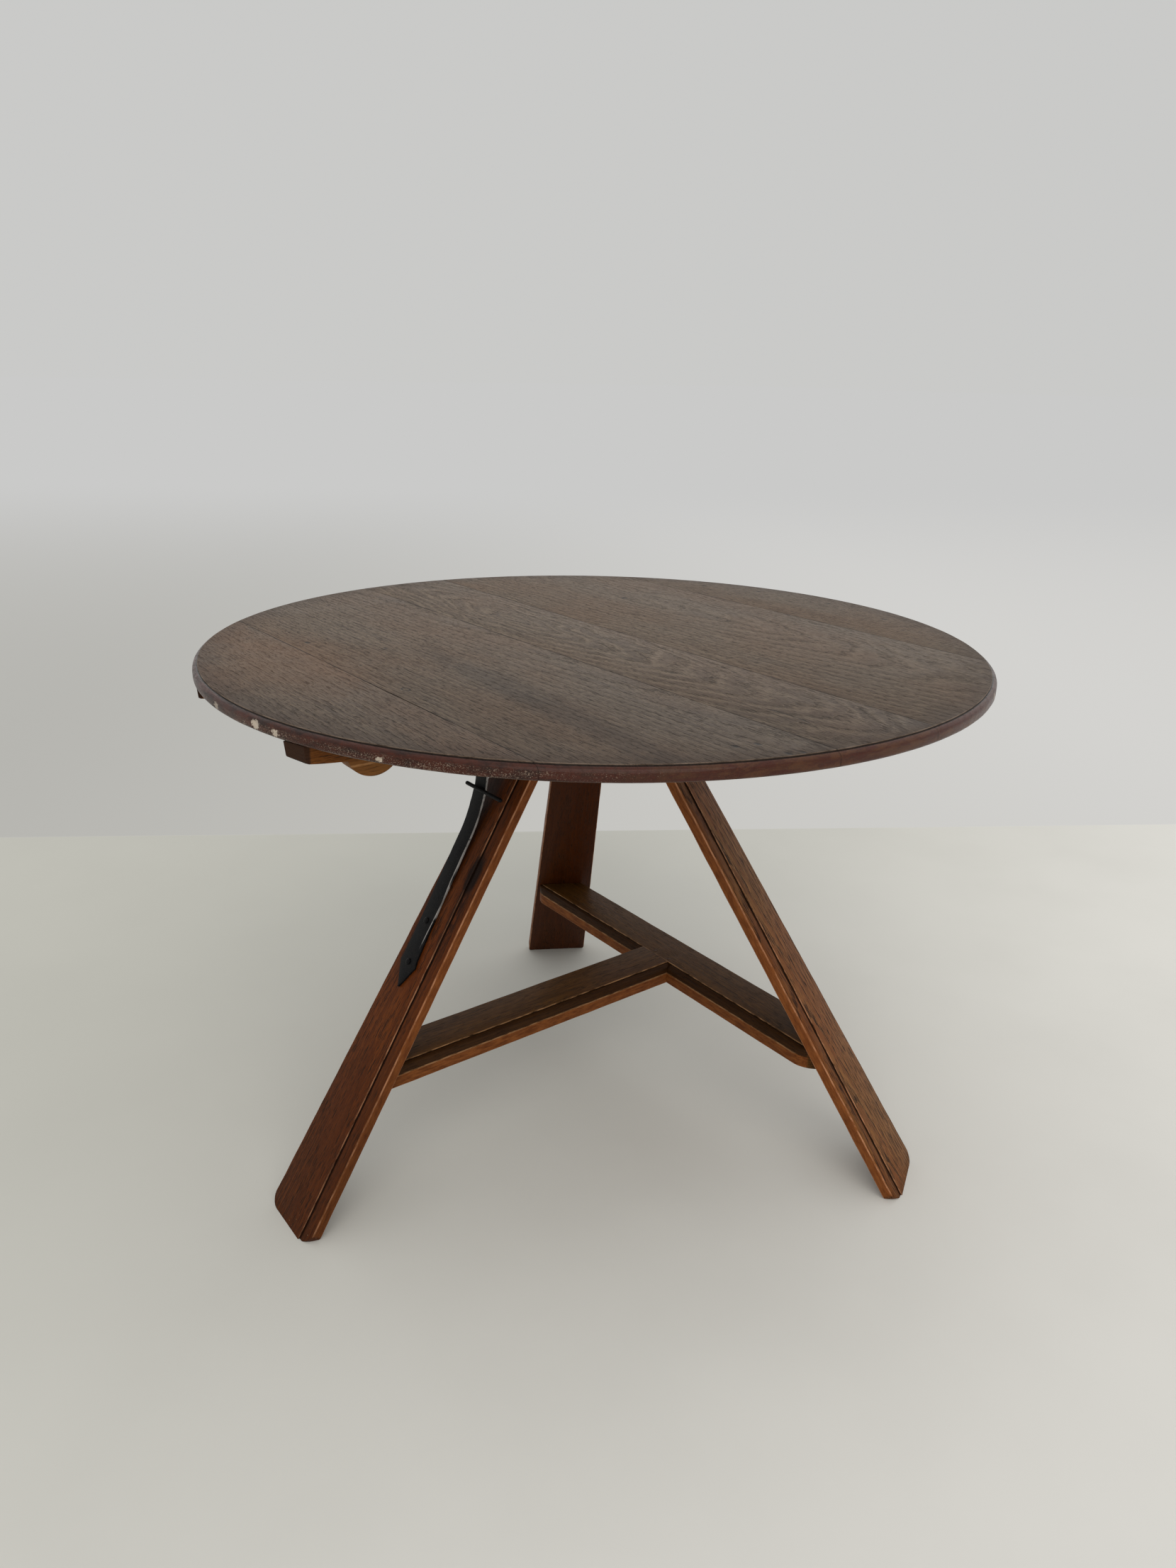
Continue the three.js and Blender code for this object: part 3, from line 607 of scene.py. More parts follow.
def legMaterial(name):
    azimuth, side, _ = leg['legs'][name]
    look = {**oakBase, 'coat': 0.06, 'roughness': 0.44, **legLooks[name]}
    tree = Tree(f'leg_oak_{name}')
    place = tree.place(grainFrame(azimuth))
    roughness, height = oak(tree, place, look)
    along, aside, out = tree.split(place)
    half = (leg['footWidth'] - leg['taper'] * along) / 2
    inward = half + aside * side  # from the moulded edge
    other = half - aside * side  # from the plain edge
    thickness = leg['thickness']
    width, step, drop = leg['mould']
    rough = tree.noise(place, (22, 5, 5), 4, 0.7)
    narrow = inward.ease(1.2, 0.3).atLeast(other.ease(1.2, 0.3)) * out.ease(0.0, -1.5)
    tree.paint(narrow * 0.8, tree.mix(rough.ease(0.3, 0.75), '9c5c2c', '6a3615'))
    hollow = inward.ease(width + 0.3, width - 0.5) * out.ease(-0.4, -1.4)
    tree.paint(hollow * 0.35, '4c2712')
    # Painted shade: a dark line in the crease at the foot of the moulding's riser.
    creviceShade = near(inward - width + 0.5, out + step, 3.0)
    tree.paint(creviceShade * 0.92, '100704')
    riser = near(inward - width - 0.4, out, 1.5)
    fold = near(inward, out + step + drop, 1.7)
    edges = near(other, out, 1.8).atLeast(near(other, out + thickness, 1.5))
    edges = edges.atLeast(near(inward, out + thickness, 1.6)).atLeast(riser).atLeast(fold)
    # The pale lines on the arrises and the riser are wear, and in part a painted highlight where those edges
    # catch the light.
    worn = edges * rough.ease(0.34, 0.62)
    tree.paint(worn * 0.72, 'c68e68')
    if name == 'latch':
        tree.paint((along + rough * 90).ease(430, 130) * 0.42, '1f0d04')
    foot = (along + rough * 30).ease(34, 12)
    tree.paint(foot * 0.35, '3a2010')
    flakes = tree.noise(place, (4, 4, 4), 3, 0.7).ease(0.68, 0.73) * along.ease(30, 8)
    tree.paint(flakes, 'd8b48a')
    # Painted shade: the leg's inner face, which looks in and down, is darkened.
    inner = out.ease(-thickness + 0.8, -thickness + 0.2)
    tree.paint(inner * 0.25, '2e170b')
    above = along * math.cos(leg['lean']) + out * math.sin(leg['lean'])
    endGrain = above.ease(leg['plateTop'] - 0.9, leg['plateTop'] - 0.5)
    tree.paint(endGrain * 0.75, '1e0f06')
    if name == 'latch':  # a knot and old dirt in the moulding
        knotAlong, knotInward, knotLength, knotWidth = leg['knot']
        offCentre = away((along - knotAlong) / knotLength, (inward - knotInward + rough * 9) / knotWidth)
        knot = (offCentre + rough * 0.9).ease(1.9, 1.2) * out.ease(-9, -7)
        tree.paint(knot * 0.92, '140904')
        dirt = along.ease(380, 450) * along.ease(590, 540) * near(inward - width + 3, 0, 14)
        tree.paint(dirt * rough.ease(0.42, 0.55) * 0.75, '1c0e07')
        height = height + knot * rough * 1.5 - knot * 0.8
        # Painted shadow: a dark stripe down the leg's face behind the strap.
        behind = near((aside - 19) * 0.6, 0, 16) * along.ease(330, 400)
        tree.paint(behind * out.ease(-0.5, 0) * 0.6, '160c07')
    roughness = roughness - worn * 0.08 + creviceShade * 0.2
    return tree.finish(roughness, height, 0.45, varnish(look))


# The section of a leg, as (across, out), at a half width and with the corner cut back to limit.
def legSection(half, side, limit):
    width, step, drop = leg['mould']
    thickness = leg['thickness']
    corners = [(-half, -thickness, 1.1), (half, -thickness, 1.1), (half, -step - drop, 0)]
    for index in range(1, 11):
        turn = (1 - index / 10) * math.pi / 2
        corners.append((half - width * (1 - math.sin(turn)), -step - drop * (1 - math.cos(turn)), 0))
    corners += [(half - width, -step * 0.55, 0), (half - width, 0, 0.6), (-half, 0, 1.3)]
    return [(side * clamp(u, -limit, limit), v) for u, v in rounded(corners)]


def railTenon(which, spare):  # a stretcher's tenons, or with room to spare their mortises
    middle = rail['bottom'] + rail['thickness'] / 2
    tall = rail['tenonTall'] / 2 + spare
    half = rail['tenonWidth'][which] / 2 + spare
    far = 450
    if which == 'cross':
        low, high, legs = (-far, rail['crossY'] - half), (far, rail['crossY'] + half), ('right', 'left')
    else:
        end = rail['crossY'] - rail['width'] / 2 + rail['mould'][0] + rail['latchTenonLength'] + spare
        low, high, legs = (-half, -far), (half, end), ('latch',)
    tenon = block((*low, middle - tall), (*high, middle + tall))
    for name in legs:
        trimToLeg(tenon, name, leg['thickness'] - rail['tenonIn'] - spare)
    return tenon


def trimToLeg(piece, name, depth):  # cuts off what lies further out than a depth inside a leg
    matrix = legFrame(leg['legs'][name][0])
    out = matrix.col[2].to_3d()
    sliceOff(piece, matrix.translation - out * depth, out)


def makeLeg(name):
    azimuth, side, node = leg['legs'][name]
    matrix = legFrame(azimuth)
    stations = [0, 1, 2, 4, 6, 9, 12, 16, 20, *range(32, leg['length'], 12)]
    radius = leg['cornerRadius']
    rings = []
    for along in [-14, *stations]:
        half = (leg['footWidth'] - leg['taper'] * along) / 2
        rise = clamp(radius - along, 0, radius)
        limit = half - (radius - math.sqrt(radius ** 2 - rise ** 2)) + 0.01
        ring = []
        for u, v in legSection(half, side, limit):
            point = Vector((u, along, v))
            nudge = jitter(point + Vector((azimuth, 0, 0)), 26, leg['uneven'])
            ring.append(matrix @ (point + nudge))
        rings.append(ring)
    piece = skin(f'leg_{name}', rings)
    sliceOff(piece, (0, 0, 0), (0, 0, -1))
    sliceOff(piece, (0, 0, leg['plateBottom'] - fit), (0, 0, 1))
    shrink = leg['tenonShrink']
    low = (-leg['tenonHalf'], leg['tenonFrom'], shrink - leg['thickness'])
    tenon = block(low, (leg['tenonHalf'], leg['tenonTo'], -shrink), matrix)
    sliceOff(tenon, (0, 0, leg['plateTop'] - shrink), (0, 0, 1))
    carve(piece, tenon, 'UNION')
    carve(piece, railTenon('latch' if name == 'latch' else 'cross', fit))
    return placed(piece, 'frame', 'leg_oak', legMaterial(name), node)


def makeLegs():
    for name in leg['legs']:
        makeLeg(name)
    print('legs: three')


rail = {
    'width': 71, 'bottom': 174, 'thickness': 31, 'mould': (9, 2, 12), 'crossY': 166, 'endHalf': 345,
    'endRadius': 42, 'tenonWidth': {'cross': 38, 'latch': 40}, 'latchTenonLength': 32, 'tenonTall': 14,
    'tenonIn': 12,
    'uneven': 0.3, 'pegs': [(-12, 147), (22, 147)], 'boreDepth': 27.3, 'boreRadius': 3.8,
    'housingOver': 5,
}
railOak = {**oakBase, 'middle': '44290f', 'pale': '5c3c17', 'warm': '4a2708', 'dark': '231405',
           'pore': '1e140d', 'pores': 0.7, 'warmth': 0.35, 'roughness': 0.48, 'coat': 0.03, 'ring': 3.6}


def railSection():  # (distance in from the moulded side, height above the bottom)
    width, step, drop = rail['mould']
    tall = rail['thickness']
    corners = [(rail['width'], tall, 1.3), (width, tall, 0.7), (width, tall - step, 0)]
    for turn in quarter(10)[1:]:
        corners.append((width * (1 - math.sin(turn)), tall - step - drop * (1 - math.cos(turn)), 0))
    corners += [(0, 0, 1.2), (rail['width'], 0, 1.2)]
    return rounded(corners)


def railMaterial(name, matrix, seed):
    look = {**railOak, 'seed': seed, 'heart': (12, -40)}
    tree = Tree(f'rail_oak_{name}')
    place = tree.place(matrix)  # y in from the moulded side, z above the bottom
    roughness, height = oak(tree, place, look)
    _, inward, above = tree.split(place)
    width, step, drop = rail['mould']
    tall = rail['thickness']
    rough = tree.noise(place, (24, 5, 5), 4, 0.7)
    side = inward.ease(width - 0.3, width - 2.5)
    band = side * above.ease(tall - step - drop - 1.5, tall - step - drop + 1)
    tree.paint(band * 0.7, '241309')
    plain = side * (1 - band)
    tree.paint(plain * 0.8, tree.mix(rough.ease(0.3, 0.7), '8a5128', '5e3014'))
    # Painted shade: a dark line in the crease at the foot of the moulding's step.
    creviceShade = near(inward - width, above - (tall - step), 2.4)
    tree.paint(creviceShade * 0.85, '120905')
    edges = near(inward - width, above - tall, 1.8)
    edges = edges.atLeast(near(inward, above - (tall - step - drop), 1.8) * 0.8)
    edges = edges.atLeast(near(inward, above, 1.6) * 0.7)
    edges = edges.atLeast(near(inward - rail['width'], above - tall, 1.8) * 0.6)
    # The pale lines on the arrises are wear, and in part a painted highlight where those edges catch the
    # light.
    worn = edges * rough.ease(0.36, 0.6)
    tree.paint(worn * 0.7, 'b0845c')
    height = height - creviceShade * 0.3
    return tree.finish(roughness, height, 0.45, varnish(look))


# Skins a stretcher; spot gives the (x, y) of a stop along it and a distance in.
def railBody(name, stops, spot):
    rings = []
    for stop in stops:
        ring = []
        for inward, above in railSection():
            point = Vector((*spot(stop, inward), rail['bottom'] + above))
            ring.append(point + jitter(point, 28, rail['uneven']))
        rings.append(ring)
    return skin(name, rings)


def makeCrossRail():
    front = rail['crossY'] - rail['width'] / 2
    radius = rail['endRadius']

    def spot(x, inward):
        past = clamp(abs(x) - rail['endHalf'] + radius, 0, radius - 0.01)
        return x, max(front + inward, front + radius - math.sqrt(radius ** 2 - past ** 2))

    stops = sorted({*range(-300, 301, 12), *range(300, 400, 4), *range(-396, -299, 4)})
    piece = railBody('stretcher_cross', stops, spot)
    for name in ('right', 'left'):
        trimToLeg(piece, name, leg['thickness'] + fit)
    half = rail['width'] / 2 + fit
    over = rail['housingOver']
    housing = block((-half, front - over, rail['bottom'] - over),
                    (half, front + rail['mould'][0] + fit, rail['bottom'] + rail['thickness'] + over))
    carve(piece, housing)
    carve(piece, railTenon('cross', 0), 'UNION')
    carve(piece, railTenon('latch', fit))
    bore(piece)
    matrix = Matrix.Translation((0, front, rail['bottom']))
    return placed(piece, 'frame', 'rail_oak', railMaterial('cross', matrix, 21.7), 'cross_stretcher')


def bore(piece):  # the pegs' holes
    topZ = rail['bottom'] + rail['thickness']
    ends = [topZ - rail['boreDepth'], topZ + rail['housingOver']]
    carve(piece, rods('tool', [(*[(x, y, z) for z in ends], rail['boreRadius']) for x, y in rail['pegs']]))


def makeStemRail():
    front = rail['crossY'] - rail['width'] / 2
    half = rail['width'] / 2
    end = front + rail['mould'][0]
    stops = [*range(-460, int(front), 12), front, end]
    piece = railBody('stretcher_latch', stops, lambda y, inward: (half - inward, y))
    trimToLeg(piece, 'latch', leg['thickness'] + fit)
    carve(piece, railTenon('latch', 0), 'UNION')
    bore(piece)
    turned = axes((0, 1, 0), (-1, 0, 0), (0, 0, 1), (half, 0, rail['bottom']))
    return placed(piece, 'frame', 'rail_oak', railMaterial('latch', turned, 23.3), 'latch_stretcher')


def makeRails():
    makeCrossRail()
    makeStemRail()
    tree = Tree('peg_oak')
    upright = Matrix.Rotation(math.radians(-90), 4, 'Y')
    look = {**railOak, 'middle': '3d2a1b', 'pale': '553c28', 'seed': 31.0}
    roughness, height = oak(tree, tree.place(upright), look)
    material = tree.finish(roughness, height, 0.4, varnish(look))
    for index in (1, 2):
        softened(f'peg_{index}', f'stretcher_peg_{index}', 0.4, 'frame', 'rail_oak', material)
    print('stretchers: two, pegged')


batten = {
    'x': 147.3, 'width': 30.4, 'depth': 32, 'endDepth': 13.5, 'noseDepth': 25.5, 'noseY': -497,
    'taperY': 415, 'shoulderY': 485, 'lobeY': -418, 'lobeRadius': 33, 'lobeDepth': 14.4,
    'screws': [-478, -224, -14, 222, 432], 'sink': 4.6, 'pivotY': 155, 'pivotBore': 8.3,
    'uneven': 0.3,
}
underOak = {**oakBase, 'middle': '5c3413', 'pale': '75491f', 'warm': '68370f', 'dark': '361b08', 'pores': 0.6,
            'roughness': 0.5, 'coat': 0.03, 'seed': 41.0, 'heart': (10, -50)}


def battenMaterial(name, side):
    look = {**underOak, 'seed': 42.0 + side}
    tree = Tree(f'batten_oak_{name}')
    place = tree.place(axes((0, 1, 0), (1, 0, 0), (0, 0, -1), (side * batten['x'], 0, top['underside'])))
    roughness, height = oak(tree, place, look)
    along, across, below = tree.split(place)
    worldX = across + side * batten['x']
    reach = away(worldX, along)
    rough = tree.noise(place, (20, 6, 6), 4, 0.7)
    ends = (reach + rough * 2).ease(516, 519)
    tree.paint(ends * 0.9, '2b1a12')
    lobe = below.ease(22, 30) * near(along - batten['lobeY'], 0, 60)
    tree.paint(lobe * 0.4, '8f6236')
    edge = near(across.size() - batten['width'] / 2, below - batten['depth'], 1.8)
    tree.paint(edge * rough.ease(0.4, 0.6) * 0.5, 'b98a5c')
    # Painted shade: the batten's sides are darkened close under the boards.
    grimeAndShade = (below + rough * 8).ease(8, 2)
    tree.paint(grimeAndShade * 0.5, '2a180d')
    return tree.finish(roughness, height, 0.5, varnish(look))


# Stations along a batten as (y, depth below the boards), from its -Y end.
def battenStations():
    radius, centre = batten['lobeRadius'], batten['lobeDepth']
    nose, depth, endDepth = batten['noseDepth'], batten['depth'], batten['endDepth']
    lead = batten['lobeY'] - math.sqrt(radius ** 2 - (nose - centre) ** 2)
    stations = [*zip(curve(-top['radius'], batten['noseY'], lead, 8), curve(endDepth, nose - 4, nose, 8))]
    first = math.pi + math.asin((nose - centre) / radius)
    last = 2 * math.pi - math.asin((depth - centre) / radius)
    for step in range(1, 31):
        turn = lerp(first, last, step / 30)
        stations.append((batten['lobeY'] + radius * math.cos(turn), centre - radius * math.sin(turn)))
    stations += [(y, depth) for y in range(-370, batten['taperY'], 20)]
    stations += zip(curve(batten['taperY'], batten['shoulderY'], top['radius'], 8),
                    curve(depth, depth - 4, endDepth, 8))
    return stations


def makeBatten(name, side):
    half = batten['width'] / 2
    roof = top['underside'] - fit
    rings = []
    for y, depth in battenStations():
        ring = []
        for u, v in rounded([(-half, 0, 0.6), (half, 0, 0.6), (half, -depth, 1.6), (-half, -depth, 1.6)]):
            x = side * batten['x'] + u
            reach = top['radius'] - 2 + v * 0.1  # the ends follow the rim and slope in below it
            end = math.sqrt(reach ** 2 - x ** 2)
            point = Vector((x, clamp(y, -end, end), roof + v))
            nudge = jitter(point, 24, batten['uneven'])
            nudge.z = min(nudge.z, 0) if v > -1 else nudge.z
            ring.append(point + nudge)
        rings.append(ring)
    piece = skin(f'batten_{name}_wood', rings)
    x = side * batten['x']
    cutters = []
    for index, y in enumerate(batten['screws']):
        headZ = boxOf(f'batten_screw_{name}_{index + 1}')[0].z
        cutters.append(((x, y, headZ - 60), (x, y, headZ + 2.9), batten['sink']))
    carve(piece, rods('tool', cutters))
    pivotZ = (leg['plateBottom'] + leg['plateTop']) / 2
    carve(piece, rods('tool', [((x - 20, batten['pivotY'], pivotZ), (x + 20, batten['pivotY'], pivotZ),
                                batten['pivotBore'])], 32))
    return placed(piece, 'tabletop', 'under_oak', battenMaterial(name, side), f'batten_{name}')


def plainOak(name, matrix, changes):
    look = {**underOak, **changes}
    tree = Tree(name)
    roughness, height = oak(tree, tree.place(matrix), look)
    return tree.finish(roughness, height, 0.5, varnish(look))


def makeUnderside():
    for name, side in (('left', -1), ('right', 1)):
        makeBatten(name, side)
    plate = plainOak('plate_oak', Matrix(), {'seed': 51.0, 'middle': '664227', 'heart': (20, 600)})
    softened('plate', 'head_plate', 1.4, 'frame', 'under_oak', plate)
    pin = plainOak('pin_oak', Matrix(), {'seed': 53.0, 'middle': '8a6640', 'pale': '9d7a50'})
    for name in ('left', 'right'):
        softened(f'pin_{name}', f'pivot_pin_{name}', 0.8, 'frame', 'under_oak', pin)
    for name, (azimuth, _, _) in leg['legs'].items():
        wedgeOak = plainOak(f'wedge_oak_{name}', grainFrame(azimuth), {'seed': 55.0, 'middle': '9a7748',
                                                                       'pale': 'a98757'})
        wedge = softened(f'wedge_{name}', f'leg_wedge_{name}', 0.2, 'frame', 'under_oak', wedgeOak)
        highest = max(vert.co.z for vert in wedge.data.vertices)
        for vert in wedge.data.vertices:  # stands a hair proud of its tenon
            if vert.co.z > highest - 0.5 * mm:
                vert.co.z += 0.15 * mm
    print('battens, plate, pins and wedges')


iron = {'base': '0f0f11', 'scale': '1d1b1a', 'highlight': 'b0adaa', 'rust': '2e1a10', 'roughness': 0.42}


def ironMaterial(name, highlightMask=None):
    tree = Tree(name)
    place = tree.place(Matrix())
    skinNoise = tree.noise(place, (7, 7, 7), 5, 0.65)
    pits = tree.noise(place, (1.8, 1.8, 1.8), 3, 0.6).ease(0.56, 0.7)
    broad = tree.noise(place, (38, 38, 38), 3)
    tree.colour = tree.mix(skinNoise.ease(0.4, 0.72) * 0.8, iron['base'], iron['scale'])
    tree.paint(broad.ease(0.6, 0.78) * pits * 0.7, iron['rust'])
    if highlightMask:
        # Painted highlight: the masked edge is laid over in a pale tone.
        rubbed = highlightMask(tree, place) * skinNoise.ease(0.3, 0.45)
        tree.paint(rubbed * 0.8, iron['highlight'])
    roughness = iron['roughness'] + skinNoise * 0.22 - 0.08
    height = skinNoise * 0.5 - pits * 0.35 + broad * 0.6
    return tree.finish(roughness, height, 0.5, {'Metallic': 0.2, 'Specular IOR Level': 0.1})


strap = {
    'thickness': 3.2, 'lift': 0.3, 'tip': (-9.4, 350), 'shoulder': (-12.4, 383, 391), 'shoulderHalf': 18.8,
    'endAlong': 472, 'shankHalf': 14.4, 'shankCentre': -18, 'bladeHalf': 13.6, 'bladeCentre': -20,
    'low': [(473, 0), (540, 2.6), (591, 5.4), (632, 14.4), (651, 21)],
    'high': [(4.5, 0.3), (6.5, 0.65), (7, 1)],
    'stops': [0, 0.6, 2, 5, 9, 14, 20, 27, 31, 33, 35, 37, 39, 41, 46, 54, 66, 82, 100],
    'topZ': boxOf('spring_blade')[1].z, 'hookUnder': 702.3, 'hookReach': 11.5, 'hookRamp': 4.5,
}


def strapHalfWidth(along):  # (middle across, half width) at a place along the leg
    tipX, tipAlong = strap['tip']
    middle, low, high = strap['shoulder']
    if along <= low:
        t = (along - tipAlong) / (low - tipAlong)
        return lerp(tipX, middle, t), lerp(0.7, strap['shoulderHalf'], t)
    if along <= strap['endAlong']:
        t = (along - low) / (strap['endAlong'] - low)
        shoulder = clamp((high - along) / (high - low)) ** 0.7
        half = lerp(strap['shankHalf'] + 2.4 * (1 - t), strap['shoulderHalf'], shoulder)
        return lerp(middle, strap['shankCentre'], t ** 0.8), half
    t = clamp((along - strap['endAlong']) / 40)
    middle = lerp(strap['shankCentre'], strap['bladeCentre'], t)
    return middle, lerp(strap['shankHalf'], strap['bladeHalf'], t)


def smoothPath(points, count):  # a Catmull-Rom curve through points, as count + 1 even parameters
    rows = [points[0] * 2 - points[1], *points, points[-1] * 2 - points[-2]]
    result = []
    spans = len(points) - 1
    for i in range(count + 1):
        span = min(int(i / count * spans), spans - 1)
        t = i / count * spans - span
        a, b, c, d = rows[span:span + 4]
        result.append(0.5 * (b * 2 + (c - a) * t + (a * 2 - b * 5 + c * 4 - d) * t ** 2
                             + (b * 3 - a - c * 3 + d) * t ** 3))
    return result


def makeStrap():
    matrix = legFrame(leg['legs']['latch'][0])
    lift = strap['thickness'] / 2 + strap['lift']
    flat = [strap['tip'][1] + stop for stop in strap['stops']]
    stops = [(matrix @ Vector((0, along, lift)), along) for along in flat]
    low = [matrix @ Vector((0, along, out + lift)) for along, out in strap['low']]
    last = low[-1]
    rise = strap['topZ'] - last.z
    low += [Vector((0, last.y + back, last.z + rise * share)) for back, share in strap['high']]
    stops += [(point, strap['endAlong'] + 1 + i * 3) for i, point in enumerate(smoothPath(low, 70))]
    rings = []
    for index, (point, along) in enumerate(stops):
        before = stops[max(index - 1, 0)][0]
        after = stops[min(index + 1, len(stops) - 1)][0]
        run = (after - before).normalized()
        out = Vector((1, 0, 0)).cross(run)
        middle, half = strapHalfWidth(along)
        tall = strap['thickness'] / 2
        edge = min(0.9, half * 0.5)
        corners = [(-half, -tall, edge), (half, -tall, edge), (half, tall, edge), (-half, tall, edge)]
        ring = []
        for u, v in rounded(corners):
            crown = 0.25 * (1 - (u / half) ** 2) if v > 0 else 0
            place = point + Vector((middle + u, 0, 0)) + out * (v + crown)
            hammered = noise.noise(place / 9) * 0.28 + noise.noise(place / 3) * 0.1 if v > 0 else 0
            ring.append(place + out * hammered + Vector((noise.noise(place / 14) * 0.45, 0, 0)))
        rings.append(ring)
    piece = skin('latch_strap', rings)
    carve(piece, makeHook(stops[-1][0]), 'UNION')
    dress(piece, ironMaterial('strap_iron', strapHighlight))
    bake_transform(piece)
    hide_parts('strap_foot', 'spring_blade')


# The hook's nose, a wedge that stands in over the staple.
def makeHook(tip):
    inner = tip.y + strap['thickness'] / 2
    outline = [(inner - 1.6, strap['topZ'] - 0.2), (inner, strap['topZ'] - 0.2),
               (inner + strap['hookReach'], strap['topZ'] - strap['hookRamp']),
               (inner + strap['hookReach'], strap['hookUnder']), (inner - 1.6, strap['hookUnder'])]
    half = strap['bladeHalf'] - 0.4
    rings = [[(strap['bladeCentre'] + x, y, z) for y, z in outline] for x in (-half, half)]
    return skin('tool', rings)


def strapHighlight(tree, place):  # a painted highlight along the strap's right edge
    x, _, z = tree.split(place)
    edge = strap['shankCentre'] + strap['shankHalf'] - z.ease(400, 440) * 2.8
    return near(x - edge - 0.4, 0, 1.2) * z.ease(345, 365)


pull = {'along': 638, 'ends': [(-45, 26.1), (35.7, 19.9)], 'radius': 2.8, 'steps': 60, 'sides': 20,
        'uneven': 0.05}


def makeFingerBar():
    matrix = legFrame(leg['legs']['latch'][0])
    start, end = [matrix @ Vector((across, pull['along'], out)) for across, out in pull['ends']]
    run = end - start
    length = run.length
    run.normalize()
    up = run.orthogonal().normalized()
    other = run.cross(up)
    radius = pull['radius']
    rings = []
    for step in range(pull['steps'] + 1):
        s = length * step / pull['steps']
        nearEnd = min(s, length - s)
        size = math.sqrt(clamp(1 - (1 - clamp(nearEnd / radius)) ** 2, 0.02, 1)) * radius
        size *= 1 + pull['uneven'] * noise.noise(Vector((s / 8, 3.1, 0)))
        rings.append(circle(start + run * s, up, other, size, pull['sides']))
    piece = skin('pull_bar', rings)
    placed(piece, 'latch', 'black_iron', ironMaterial('bar_iron'), 'finger_bar')


def makeSmallIron():
    plainIron = ironMaterial('plain_iron')
    for index in (1, 2):
        softened(f'strap_rivet_{index}', f'strap_screw_{index}', 0.25, 'frame', 'black_iron', plainIron)
    staple = softened('staple', 'keeper_staple', 0.1, 'tabletop', 'black_iron', plainIron)
    staple.modifiers.new('round', 'SUBSURF').levels = 1
    settle(staple)


screw = {'turn': 1.1, 'slotLength': 12, 'slotWidth': 1.1, 'slotDepth': 1.1}


def makeBattenScrews():
    tree = Tree('screw_steel')
    place = tree.place(Matrix())
    dull = tree.noise(place, (2, 2, 2), 4, 0.7)
    tree.colour = tree.mix(dull.ease(0.4, 0.7), '6d6660', '3d322a')
    steel = tree.finish(0.34 + dull * 0.3, dull, 0.2, {'Metallic': 0.9})
    for name in ('left', 'right'):
        for index in range(1, 6):
            node = f'batten_screw_{name}_{index}'
            low, high = boxOf(node)
            piece = softened(f'screw_{name}_{index}', node, 0.25, 'tabletop', 'screw_steel', steel)
            middle = (low + high) / 2
            turn = Matrix.Rotation(index * screw['turn'], 4, 'Z')
            turn.translation = Vector((middle.x, middle.y, low.z))
            ahead, aside = screw['slotLength'] / 2, screw['slotWidth'] / 2
            carve(piece, block((-ahead, -aside, -1), (ahead, aside, screw['slotDepth']), turn))
            piece.data.set_sharp_from_angle(angle=smoothAngle)


def makeIron():
    makeStrap()
    makeFingerBar()
    makeSmallIron()
    makeBattenScrews()
    print('latch iron and screws')


room = {
    # 'paintedLight' is the floor's painted light; 'shade', 'beyond' and 'haze' are the painted light and
    # shade of the wall that glows beyond the line.
    'floor': 'c2c2bb', 'paintedLight': 'e4e3df', 'dust': 'a9a8a2', 'beyond': 'd4d3d0', 'line': 'ececeb',
    'shade': 'b6b5b0', 'haze': 'cacac9', 'unlit': '000000', 'mottle': 1 / 3, 'halfFloor': 90000,
    'floorZ': -0.3,  # a hair under the feet
    'wallDistance': 1.089, 'wallAzimuth': 147.2, 'world': 'fdfdfb', 'worldStrength': 0.60,
}
suns = {
    'windows': {'from': (0.75, -0.45, 0.62), 'strength': 0.95, 'spread': 60, 'shade': 'fff8ee'},
    'ceiling': {'from': (-0.2, 0.3, 1.0), 'strength': 0.75, 'spread': 130, 'shade': 'ffffff'},
}
camera = {'place': (1.1988, -0.9252, 1.0821), 'turn': -0.9171, 'pitch': 0.3518, 'roll': -0.0200,
          'lens': 25.752}


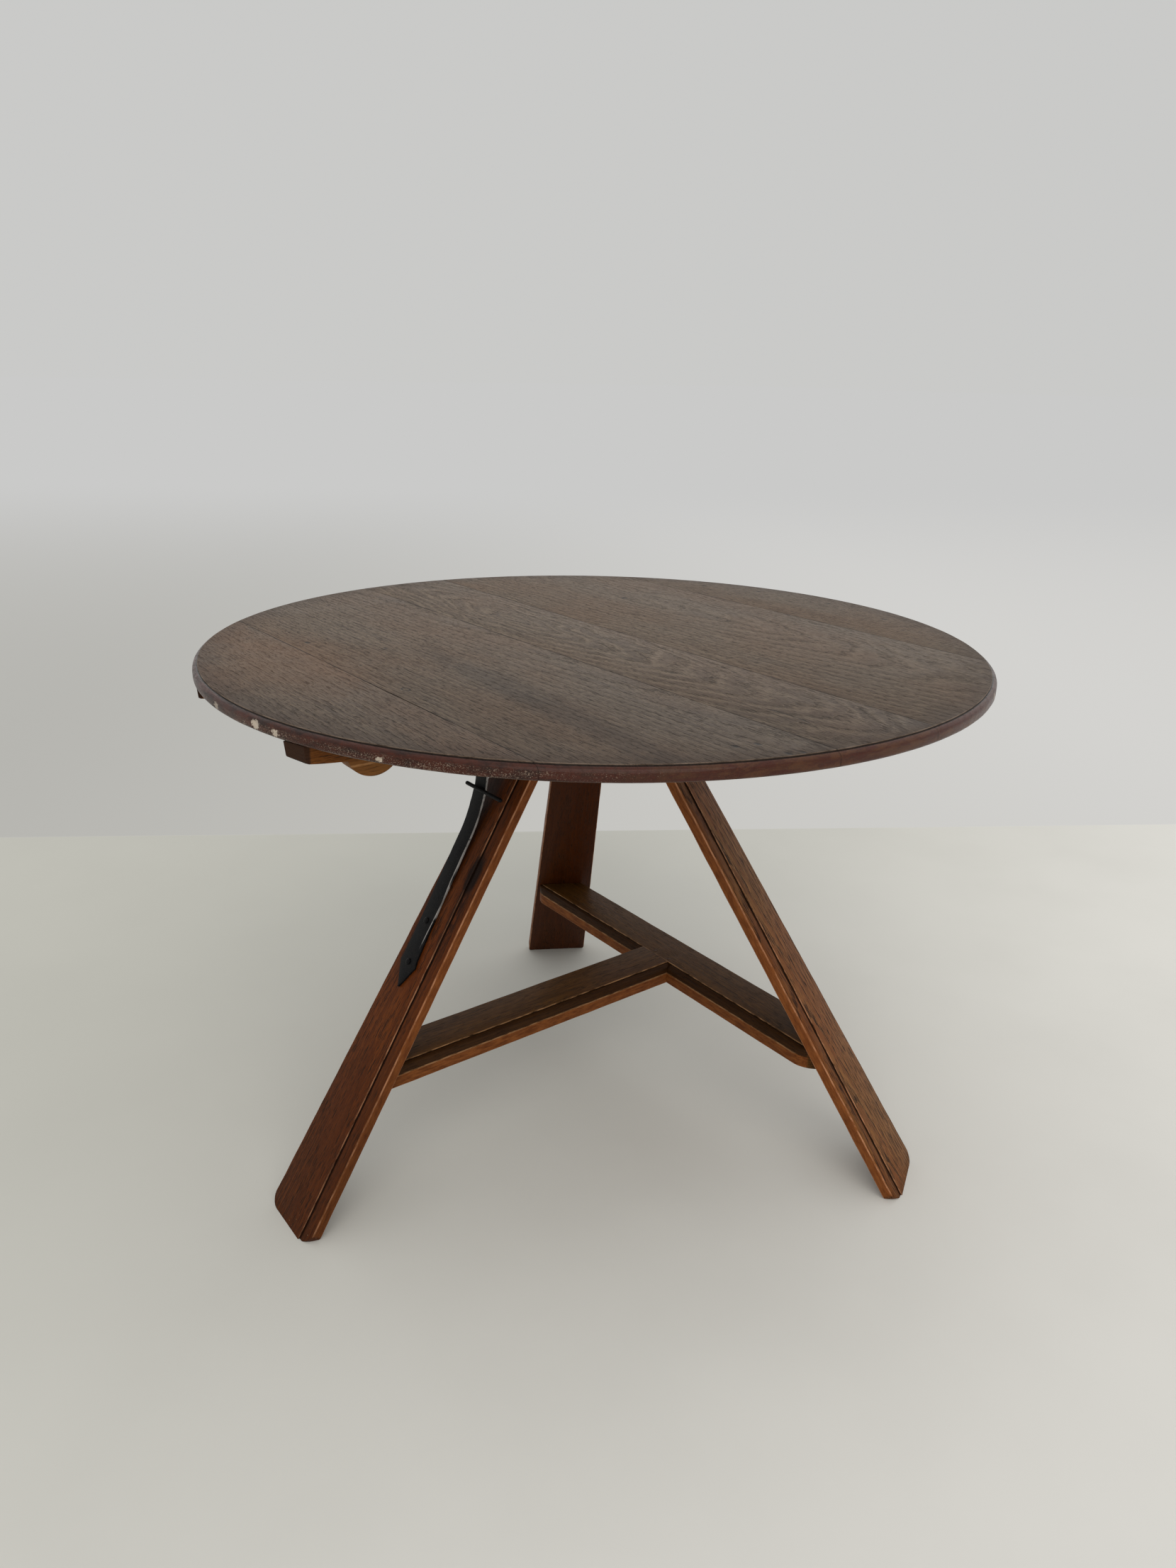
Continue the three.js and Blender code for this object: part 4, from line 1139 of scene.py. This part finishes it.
def makeFloor():
    size = room['halfFloor']
    corners = [(-size, -size), (size, -size), (size, size), (-size, size)]
    floor = addMesh('floor', [(x, y, room['floorZ']) for x, y in corners], [(0, 1, 2, 3)])
    tree = Tree('pale_floor')
    place = tree.add('TexCoord', {}, {}, 3)  # metres
    x, y, _ = tree.split(place)
    turn = math.radians(room['wallAzimuth'])
    far = x * math.cos(turn) + y * math.sin(turn) - room['wallDistance']
    beyond = far.ease(-0.004, 0.004)
    mottled = tree.noise(place, (room['mottle'],) * 3, 4.0)
    # Painted light: the floor is paler towards +X, the windows' side.
    tree.colour = tree.mix((x * 0.96 + y * 0.27).ease(-1.0, 1.2), room['floor'], room['paintedLight'])
    tree.paint(mottled.ease(0.3, 0.8) * 0.10, room['dust'])
    # The wall past the line is no mesh and no lamp but a glow in the floor's emission. The floor there is
    # black, and the glow is painted light and shade: darker to one side, paler to the other, fading to the
    # world's tone far off, with a pale line at its foot.
    tree.paint(beyond, room['unlit'])
    lateral = x * math.sin(turn) - y * math.cos(turn)
    wall = tree.mix(lateral.ease(-1.8, 2.2), room['shade'], room['beyond'])
    wall = tree.mix(far.ease(0.3, 9.0), wall, room['haze'])
    wall = tree.mix(near(far, 0.006, 0.007), wall, room['line'])
    glow = tree.mix(beyond, room['unlit'], wall)
    sockets = {'Specular IOR Level': 0.0, 'Emission Color': glow, 'Emission Strength': 1.0}
    floor.data.materials.append(tree.finish(0.7, mottled, 0.1, sockets))


def makeLights():
    world = bpy.data.worlds.new('soft_room')
    bpy.context.scene.world = world
    world.use_nodes = True
    background = world.node_tree.nodes['Background']
    background.inputs['Color'].default_value = hexShade(room['world'])
    background.inputs['Strength'].default_value = room['worldStrength']
    for name, sun in suns.items():
        lamp = bpy.data.lights.new(name, 'SUN')
        lamp.energy = sun['strength']
        lamp.angle = math.radians(sun['spread'])
        lamp.color = hexShade(sun['shade'])[:3]
        show(name, lamp).rotation_euler = Vector(sun['from']).to_track_quat('Z', 'Y').to_euler()


def makeCamera():
    turn, pitch, roll = camera['turn'], camera['pitch'], camera['roll']
    forward = Vector((math.sin(turn) * math.cos(pitch), math.cos(turn) * math.cos(pitch), -math.sin(pitch)))
    level = Vector((math.cos(turn), -math.sin(turn), 0))
    under = forward.cross(level)
    right = level * math.cos(roll) + under * math.sin(roll)
    down = under * math.cos(roll) - level * math.sin(roll)
    lens = bpy.data.cameras.new('camera')
    lens.lens = camera['lens']
    lens.sensor_width = 36
    viewer = show('camera', lens)
    viewer.matrix_world = axes(right, -down, -forward, camera['place'])
    bpy.context.scene.camera = viewer
    bpy.context.scene.view_settings.view_transform = 'Standard'


makeCamera()
makeTop()
makeLegs()
makeRails()
makeUnderside()
makeIron()
makeFloor()
makeLights()
print('floor, lights and camera')
